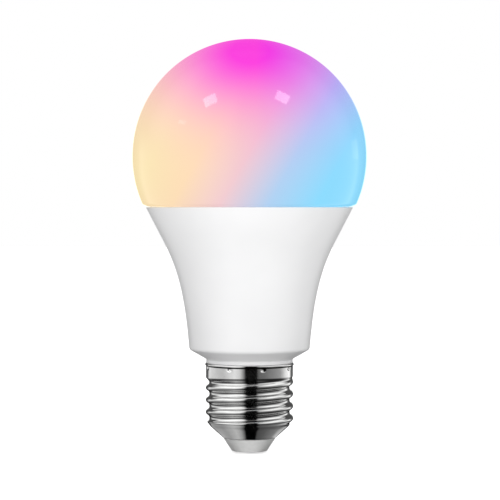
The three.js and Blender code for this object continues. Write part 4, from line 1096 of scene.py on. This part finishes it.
gel, shader, node, link = new_material("clear_gel_fill")
clouds = grain(node, 900.0)
link(two_tone(node, clouds, (0.80, 0.80, 0.76), (0.88, 0.88, 0.85)), shader.inputs["Base Color"])
link(remap(node, clouds, 0.06, 0.12), shader.inputs["Roughness"])
shader.inputs["Alpha"].default_value = 0.3
dies = [
    plastic("red_die", (0.45, 0.02, 0.01), (0.65, 0.05, 0.03), 0.2, 4000.0),
    plastic("green_die", (0.02, 0.35, 0.08), (0.05, 0.52, 0.14), 0.2, 4000.0),
    plastic("blue_die", (0.02, 0.07, 0.45), (0.05, 0.14, 0.65), 0.2, 4000.0),
]
for i in range(1, 5):
    node_name = f"rgb_led_{i}"
    low, high = box_mm(node_name)
    x, y = (low[:2] + high[:2]) / 2
    angle = math.atan2(y, x)
    tall = high[2] - low[2]
    frame = lofted(2.5, 2.5, [
        (0.05, 0.1, 0.1), (0.0, 0.12, 0.15), (0.0, 0.12, 0.7), (0.08, 0.12, tall - 0.06),
        (0.14, 0.12, tall),
        (0.5, 1.98, tall), (0.56, 1.93, tall - 0.05), (0.8, 1.69, tall - 0.5),
        (0.82, 1.67, tall - 0.51),
    ], 9)
    fill = lofted(2.5, 2.5, [
        (0.84, 1.65, tall - 0.47), (0.66, 1.82, tall - 0.2), (0.75, 1.74, tall - 0.1),
                             (1.4, 1.09, tall - 0.08)], 9)
    skins = [
        (on_ring(frame, angle, x, y, low[2]), False, 0),
        (on_ring(fill, angle, x, y, low[2]), False, 1),
    ]
    for k, (dx, dy) in enumerate(((-0.75, 0), (0.0, 0.55), (0.75, 0))):
        die = slab(0.24, 0.24, tall - 0.49, tall - 0.34, 0.03, 0.04) + np.array([dx, dy, 0])
        skins.append((on_ring(die, angle, x, y, low[2]), False, 3 + k))
    for side in (-1, 1):
        for row in (-1.6, 0, 1.6):
            leg = slab(0.45, 0.36, 0.0, 0.16, 0.03, 0.05) + np.array([row, side * 2.2, 0])
            skins.append((on_ring(leg, angle, x, y, low[2]), False, 2))
            ramp = fillet_ramp(0.42) + np.array([row, side * 2.62, 0])
            fillets.append((on_ring(ramp, angle, x, y, low[2] - 0.04), False, 0))
    piece = piece_of(f"{node_name}_package", skins, flat=True)
    seat(piece, node_name, "rgb_led", package, gel, tinned, *dies)

solder_piece = piece_of("led_board_solder", fillets)
solder_piece.data.materials.append(solder)
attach(solder_piece, "root")

# ------------------------------------------------------------------ board screws
# Zinc-plated pan-head screws with a cross recess, cut thread and a blunt point.
zinc = metal("zinc_plated_steel", (0.56, 0.57, 0.60), (0.72, 0.73, 0.76), 0.28, (1, 1, 6))
for i in range(1, 4):
    low, high = box_mm(f"board_screw_{i}")
    x, y = (low[:2] + high[:2]) / 2
    head_r = (high[0] - low[0]) / 2
    tall = high[2] - low[2]
    under = tall - 1.5
    spin = np.arange(64) * 2 * np.pi / 64
    climb = np.linspace(0.8, under - 0.5, 44)
    ridge = np.abs((climb[:, None] / 0.8 - spin / (2 * np.pi)) % 1.0 - 0.5) * 2
    shank_r = 0.96 + 0.24 * (1 - ridge)
    shank_z = climb[:, None] * np.ones((1, 64))
    tip_r = np.array([[0.5], [0.8]]) * np.ones((1, 64))
    tip_z = np.array([[0.0], [0.45]]) * np.ones((1, 64))
    head = rounded([
        [1.0, under - 0.3, 0], [1.05, under, 0], [head_r - 0.02, under, 0.12],
        [head_r - 0.02, under + 0.75, 0.5],
        [head_r * 0.68, tall - 0.02, 0.5], [head_r * 0.62, tall - 0.01, 0],
    ], 6)
    crown_r = np.linspace(head_r * 0.6, 0.05, 22)[:, None] * np.ones((1, 64))
    cx, cy = crown_r * np.cos(spin), crown_r * np.sin(spin)
    slot = smooth_step((0.34 - np.minimum(np.abs(cx), np.abs(cy))) / 0.12)
    deep = 0.85 * slot * smooth_step((1.32 - crown_r) / 0.3)
    crown_z = tall - 0.01 - deep
    head_rows = head[:, :1] * np.ones((1, 64))
    head_z = head[:, 1:] * np.ones((1, 64))
    grid = rings_of(
        np.concatenate([tip_r, shank_r, head_rows, crown_r]),
        np.concatenate([tip_z, shank_z, head_z, crown_z]),
    ) + np.array([x, y, low[2]])
    screw = piece_of(f"board_screw_{i}_pan_head", [(grid, False, 0)])
    seat(screw, f"board_screw_{i}", "steel", zinc)

# ------------------------------------------------------------------ Wi-Fi module
# A small green board in the LED board's slot, its radio under a pressed tin-plate lid and its
# aerial a folded copper track, gold flashed, at the top end.
finish(["wifi_board"], green_mask)
finish(["wifi_aerial"], metal("gold_flashed_copper", (0.80, 0.52, 0.20), (0.92, 0.66, 0.30), 0.22))
low, high = box_mm("wifi_shield")
half_x, half_z = (high[0] - low[0]) / 2, (high[2] - low[2]) / 2
deep = high[1] - low[1]
lid = lofted(half_x, half_z, [
    (0.02, 0.3, 0.0), (0.0, 0.3, 0.05), (0.0, 0.4, deep - 0.35), (0.06, 0.45, deep - 0.12),
    (0.2, 0.45, deep - 0.02),
    (0.9, 0.45, deep), (1.0, 0.45, deep - 0.07), (1.12, 0.45, deep - 0.09),
    (3.0, 0.45, deep - 0.09),
], 6)
lid_middle = (low[0] + high[0]) / 2, high[1], (low[2] + high[2]) / 2
lid = carried(lid, (1, 0, 0), (0, 0, 1), (0, -1, 0), lid_middle)
tin = metal("bright_tin_plate", (0.66, 0.66, 0.65), (0.80, 0.80, 0.79), 0.26, (1, 1, 12))
seat(piece_of("wifi_shield_lid", [(lid, False, 0)]), "wifi_shield", "tinplate", tin)

# ------------------------------------------------------------------ diffuser globe
# Blown milky polycarbonate, glossy. The light of the coloured and white LEDs inside is painted
# on it: the glow as emission, and a dim copy of the glow as its base colour. Its lip turns in
# to the housing's rim and its spigot snaps into the bore.
globe_r = 35.0
globe_wall = 1.4
seam_z = body_rim_z + 0.2
globe_z = seam_z + math.sqrt(globe_r**2 - (body_rim_r + 0.8) ** 2)
spigot_r = bore_r - 0.2
spigot_bore_r = spigot_r - 1.4


def meridian(radius, centre_z, low_z, count):
    """Half a circle's outline from height low_z up to the pole, at equal angles."""
    first = math.asin((low_z - centre_z) / radius)
    a = np.linspace(first, math.pi / 2, count)
    return np.stack([radius * np.cos(a), centre_z + radius * np.sin(a)], axis=1)


lip_top_z = seam_z + 1.3
outside = meridian(globe_r, globe_z, lip_top_z, 80)
inside = meridian(globe_r - globe_wall, globe_z, seam_z + globe_wall, 60)[::-1]
outside[-1, 0] = inside[0, 0] = 0
lip = rounded(
    [
        [*inside[-1], 0],
        [spigot_bore_r, seam_z + globe_wall, 0.3],
        [spigot_bore_r, seam_z - 1.7, 0.2],
        [spigot_r, seam_z - 1.7, 0.15],
        [spigot_r, snap_z - 0.35, 0.1],
        [spigot_r + 0.28, snap_z, 0.12],
        [spigot_r, snap_z + 0.35, 0.1],
        [spigot_r, seam_z, 0.15],
        [body_rim_r + 0.15, seam_z, 0.22],
        [(body_rim_r + outside[0, 0]) / 2 + 0.38, seam_z + 0.62, 0.5],
        [*outside[0], 0],
    ]
)
globe_outline = np.concatenate([inside[:-1], lip, outside[1:]])
globe_plastic, shader, node, link = new_material("milky_globe_painted_glow")
place = node("ShaderNodeTexCoord").outputs["Object"]
centred = node(
    "ShaderNodeMapping",
    {
        "Vector": place,
        "Location": (0, 0, -globe_z / globe_r),
        "Scale": (1000 / globe_r,) * 3,
    },
).outputs["Vector"]
part = node("ShaderNodeSeparateXYZ", {"Vector": centred}).outputs

# Painted glow, peach on -X to sky blue on +X, the border leaning so that the blue reaches further
# low down.
sideways = maths(node, "MULTIPLY_ADD", part["X"], 0.636, 0.506)
sweep = maths(node, "MULTIPLY_ADD", part["Z"], -0.359, sideways)
sides = ramp_of(node, sweep, [
    (0.0, (0.965, 0.80, 0.46)),
    (0.25, (0.973, 0.730, 0.468)),
    (0.5, (0.863, 0.597, 0.624)),
    (0.75, (0.429, 0.638, 0.879)),
    (1.0, (0.262, 0.716, 0.991)),
]).outputs["Color"]
# Painted magenta glow at the crown: a bell exp(-(a^2 + b^2)), turning violet towards +X.
bell_x = maths(node, "MULTIPLY_ADD", part["X"], 1 / 0.78, -0.01)
bell_z = maths(node, "MULTIPLY_ADD", part["Z"], 1 / 0.55, -0.86 / 0.55)
bell = maths(node, "MULTIPLY_ADD", bell_z, bell_z, maths(node, "MULTIPLY", bell_x, bell_x))
crown = maths(node, "MULTIPLY", maths(node, "EXPONENT", maths(node, "MULTIPLY", bell, -1.0)), 1.04)
violet = spread(node, part["X"], 0.05, 0.75)
magenta = mixed(node, violet, (0.98, 0.05, 0.74, 1), (0.57, 0.0, 1.0, 1))
glow = mixed(node, crown, sides, magenta)
milky = grain(node, 35.0, detail=2.0)
link(node("ShaderNodeVectorMath", {0: glow, "Scale": 0.16}, operation="SCALE").outputs[0],
     shader.inputs["Base Color"])
link(glow, shader.inputs["Emission Color"])
shader.inputs["Emission Strength"].default_value = 0.84
shader.inputs["IOR"].default_value = 1.25
link(remap(node, milky, 0.05, 0.08), shader.inputs["Roughness"])
relief(node, link, shader, milky, 0.02, 0.1)
globe = piece_of("diffuser_globe_blown", [turned(globe_outline, 192)])
seat(globe, "diffuser_globe", "diffuser", globe_plastic)

# ------------------------------------------------------------------ silicone bead
# Clear-white silicone laid in the rim's groove, which glues the globe down for good.
bead_low, bead_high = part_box("globe_sealant")
bead_foot_z, bead_top_z = bead_low.z * 1000, bead_high.z * 1000
bead_outline = rounded([
    [groove_r - 0.4, bead_foot_z, 0.15],
    [groove_r + 0.4, bead_foot_z, 0.15],
    [groove_r + 0.4, bead_top_z, 0.22],
    [groove_r - 0.4, bead_top_z, 0.22],
])
bead_rubber, shader, node, link = new_material("cured_silicone")
clouds = grain(node, 150.0)
link(two_tone(node, clouds, (0.74, 0.75, 0.76), (0.84, 0.84, 0.84)), shader.inputs["Base Color"])
link(remap(node, clouds, 0.2, 0.34), shader.inputs["Roughness"])
relief(node, link, shader, clouds, 0.08, 0.4)
bead = piece_of("globe_sealant_bead", [turned(bead_outline, 96)])
seat(bead, "globe_sealant", "silicone", bead_rubber)

# ------------------------------------------------------------------ floor, lamps and camera
# A pale table top in a white studio. Bright and dark cards stand round the bulb and shape the
# reflections in its cap. The lamps only show as marks mirrored in the globe: they light nothing.
scene = bpy.context.scene


def cards(node, place, stops):
    """Grey levels round the bulb, from [degrees, level] stops joined by straight lines. The
    bearing is 0 towards the camera and grows towards +X."""
    part = node("ShaderNodeSeparateXYZ", {"Vector": place}).outputs
    turn = maths(node, "ARCTAN2", part["X"], maths(node, "MULTIPLY", part["Y"], -1.0))
    share = maths(node, "MULTIPLY_ADD", turn, 1 / (2 * math.pi), 0.5)
    greys = [((degrees + 180) / 360, (level,) * 3) for degrees, level in stops]
    return ramp_of(node, share, greys).outputs["Color"]


def by_ray(node, seen, mirrored, soft):
    """One colour for the camera, one for mirror rays and one for soft light."""
    ray = node("ShaderNodeLightPath").outputs
    inner = mixed(node, ray["Is Glossy Ray"], soft, mirrored)
    return mixed(node, ray["Is Camera Ray"], inner, seen)


level_cards = [
    (-180, 1.0), (-168, 1.0), (-163, 0.03), (-150, 0.05), (-140, 0.2), (-130, 0.9),
    (-95, 0.68), (-70, 0.62), (-38, 0.95), (-24, 0.7), (-10, 0.0), (18, 0.0), (24, 0.13),
    (45, 0.2), (88, 0.4), (108, 0.9), (128, 1.3), (137, 0.3), (150, 0.05), (160, 0.05),
    (168, 1.0), (180, 1.0),
]
high_cards = [
    (-180, 1.0), (-168, 1.0), (-163, 0.1), (-150, 0.1), (-140, 1.0), (-60, 1.4),
    (-24, 1.2), (-10, 0.0), (18, 0.0), (28, 0.6), (60, 1.2), (146, 1.0),
    (150, 0.1), (160, 0.1), (168, 1.0), (180, 1.0),
]
soft_cards = [
    (-180, 1.7), (-140, 1.15), (-120, 0.6), (-105, 0.85), (-90, 1.25), (-75, 0.7), (-60, 0.1),
    (-45, 0.4), (-30, 1.5), (-15, 2.2), (0, 2.25), (15, 2.2), (30, 1.5), (45, 0.4),
    (60, 0.1), (75, 0.7), (90, 1.25), (105, 0.85), (120, 0.6), (140, 1.15), (180, 1.7),
]
floor_mesh = bpy.data.meshes.new("table_top")
reach = 3.0
floor_mesh.from_pydata(
    [(x * reach, y * reach, -0.0003) for x, y in ((-1, -1), (1, -1), (1, 1), (-1, 1))],
    [], [(0, 1, 2, 3)],
)
floor = bpy.data.objects.new("table_top", floor_mesh)
scene.collection.objects.link(floor)
paper, shader, node, link = new_material("white_table_top")
fibres = grain(node, 300.0)
link(two_tone(node, fibres, (0.88, 0.88, 0.88), (0.90, 0.90, 0.90)), shader.inputs["Base Color"])
shader.inputs["Roughness"].default_value = 0.9
shader.inputs["Specular IOR Level"].default_value = 0.0
shader.inputs["Emission Color"].default_value = (1, 1, 1, 1)
shader.inputs["Emission Strength"].default_value = 0.6
place = node("ShaderNodeTexCoord").outputs["Object"]
away = node("ShaderNodeVectorMath", {0: place}, operation="LENGTH").outputs["Value"]


def from_bulb(stops):
    """Levels over the distance from the bulb's axis, from [metres, level] stops."""
    furthest = 0.2
    greys = [(metres / furthest, (level,) * 3) for metres, level in stops]
    return ramp_of(node, spread(node, away, 0.0, furthest), greys).outputs["Color"]


def dimmed(colour, share):
    """One colour times another."""
    return node("ShaderNodeVectorMath", {0: colour, 1: share}, operation="MULTIPLY").outputs[0]


# Painted shade on the table, seen only in reflections and soft light: darker near the bulb, with a
# dark ring 28 to 42 mm out, and at full level only from 0.12 m for mirror rays and 0.15 m for soft
# light.
table_mirrored = dimmed(cards(node, place, level_cards), from_bulb([
    (0.0, 0.6), (0.012, 0.6), (0.017, 0.45), (0.024, 0.45), (0.028, 0.06), (0.042, 0.06),
    (0.06, 0.5), (0.12, 1.0),
]))
painted_shade_by_distance = [(0.0, 0.2), (0.02, 0.32), (0.05, 0.3), (0.08, 0.45), (0.15, 1.0)]
table_soft = dimmed(cards(node, place, soft_cards), from_bulb(painted_shade_by_distance))
unseen = node(
    "ShaderNodeEmission", {"Color": by_ray(node, (1, 1, 1, 1), table_mirrored, table_soft)}
).outputs[0]
ray = node("ShaderNodeLightPath").outputs
top = node("ShaderNodeMixShader", {0: ray["Is Camera Ray"], 1: unseen, 2: shader.outputs[0]})
clear = node("ShaderNodeBsdfTransparent").outputs[0]
back = node("ShaderNodeNewGeometry").outputs["Backfacing"]
two_sided = node("ShaderNodeMixShader", {0: back, 1: top.outputs[0], 2: clear})
link(two_sided.outputs[0], paper.node_tree.nodes["Material Output"].inputs["Surface"])
floor_mesh.materials.append(paper)

world = bpy.data.worlds.new("white_studio")
scene.world = world
world.use_nodes = True
world.node_tree.nodes.clear()
node = node_adder(world.node_tree)
place = node("ShaderNodeTexCoord").outputs["Generated"]
part = node("ShaderNodeSeparateXYZ", {"Vector": place}).outputs
height = part["Z"]
low_ring, high_ring = cards(node, place, level_cards), cards(node, place, high_cards)
mirrored = mixed(node, spread(node, height, 0.1, 0.4), low_ring, high_ring)
mirrored = mixed(node, spread(node, height, 0.75, 0.95), mirrored, (0.3, 0.3, 0.3, 1))
# It stays dark above and behind, so that the globe's outline keeps its colour.
shaded = maths(node, "MULTIPLY", spread(node, part["Y"], 0.2, 0.6), spread(node, height, 0.03, 0.2))
mirrored = mixed(node, shaded, mirrored, (0.08, 0.08, 0.08, 1))
fade = spread(node, height, 0.3, 1.0, 1.0, 0.6)
soft = node(
    "ShaderNodeVectorMath", {0: cards(node, place, soft_cards), "Scale": fade}, operation="SCALE"
).outputs[0]
backdrop = node(
    "ShaderNodeBackground", {"Color": by_ray(node, (1, 1, 1, 1), mirrored, soft)}
).outputs[0]
node("ShaderNodeOutputWorld", {"Surface": backdrop})

receivers = bpy.data.collections.new("globe_only")
receivers.objects.link(globe)
globe_middle = np.array([0, 0, globe_z / 1000])
to_eye = np.array([0, -1, -0.03])
for name, bearing, climb, roll, wide, tall, power in (
    ("left", -55.8, 49.6, 50, 0.19, 0.19, 1.5), ("right", 49.7, 53.8, -52, 0.19, 0.19, 1.5),
    ("left_low", -76.2, 26.2, 0, 0.15, 0.05, 0.1), ("right_edge", 125.9, 4.0, 0, 0.22, 0.15, 0.06),
):
    a, e = math.radians(bearing), math.radians(climb)
    way = np.array([math.sin(a) * math.cos(e), -math.cos(a) * math.cos(e), math.sin(e)])
    mirror_point = globe_middle + globe_r / 1000 * (way + to_eye) / np.linalg.norm(way + to_eye)
    lamp = bpy.data.lights.new(f"square_lamp_{name}", "AREA")
    lamp.shape = "RECTANGLE"
    lamp.size, lamp.size_y = wide, tall
    lamp.energy = power
    stand = bpy.data.objects.new(f"square_lamp_{name}", lamp)
    stand.location = mirror_point + way
    stand.rotation_euler = (math.pi / 2 - e, 0, a)
    stand.rotation_euler.rotate_axis("Z", math.radians(roll))
    stand.visible_diffuse = False
    stand.light_linking.receiver_collection = receivers
    scene.collection.objects.link(stand)

eye = bpy.data.cameras.new("front_camera")
eye.sensor_width = 36
eye.lens = 143.9
camera = bpy.data.objects.new("front_camera", eye)
camera.location = (0.00015, -0.597, 0.07325)
camera.rotation_euler = (math.pi / 2 + math.atan2(0.06025 - 0.07325, 0.597), 0, 0)
scene.collection.objects.link(camera)
scene.camera = camera
scene.view_settings.view_transform = "Standard"
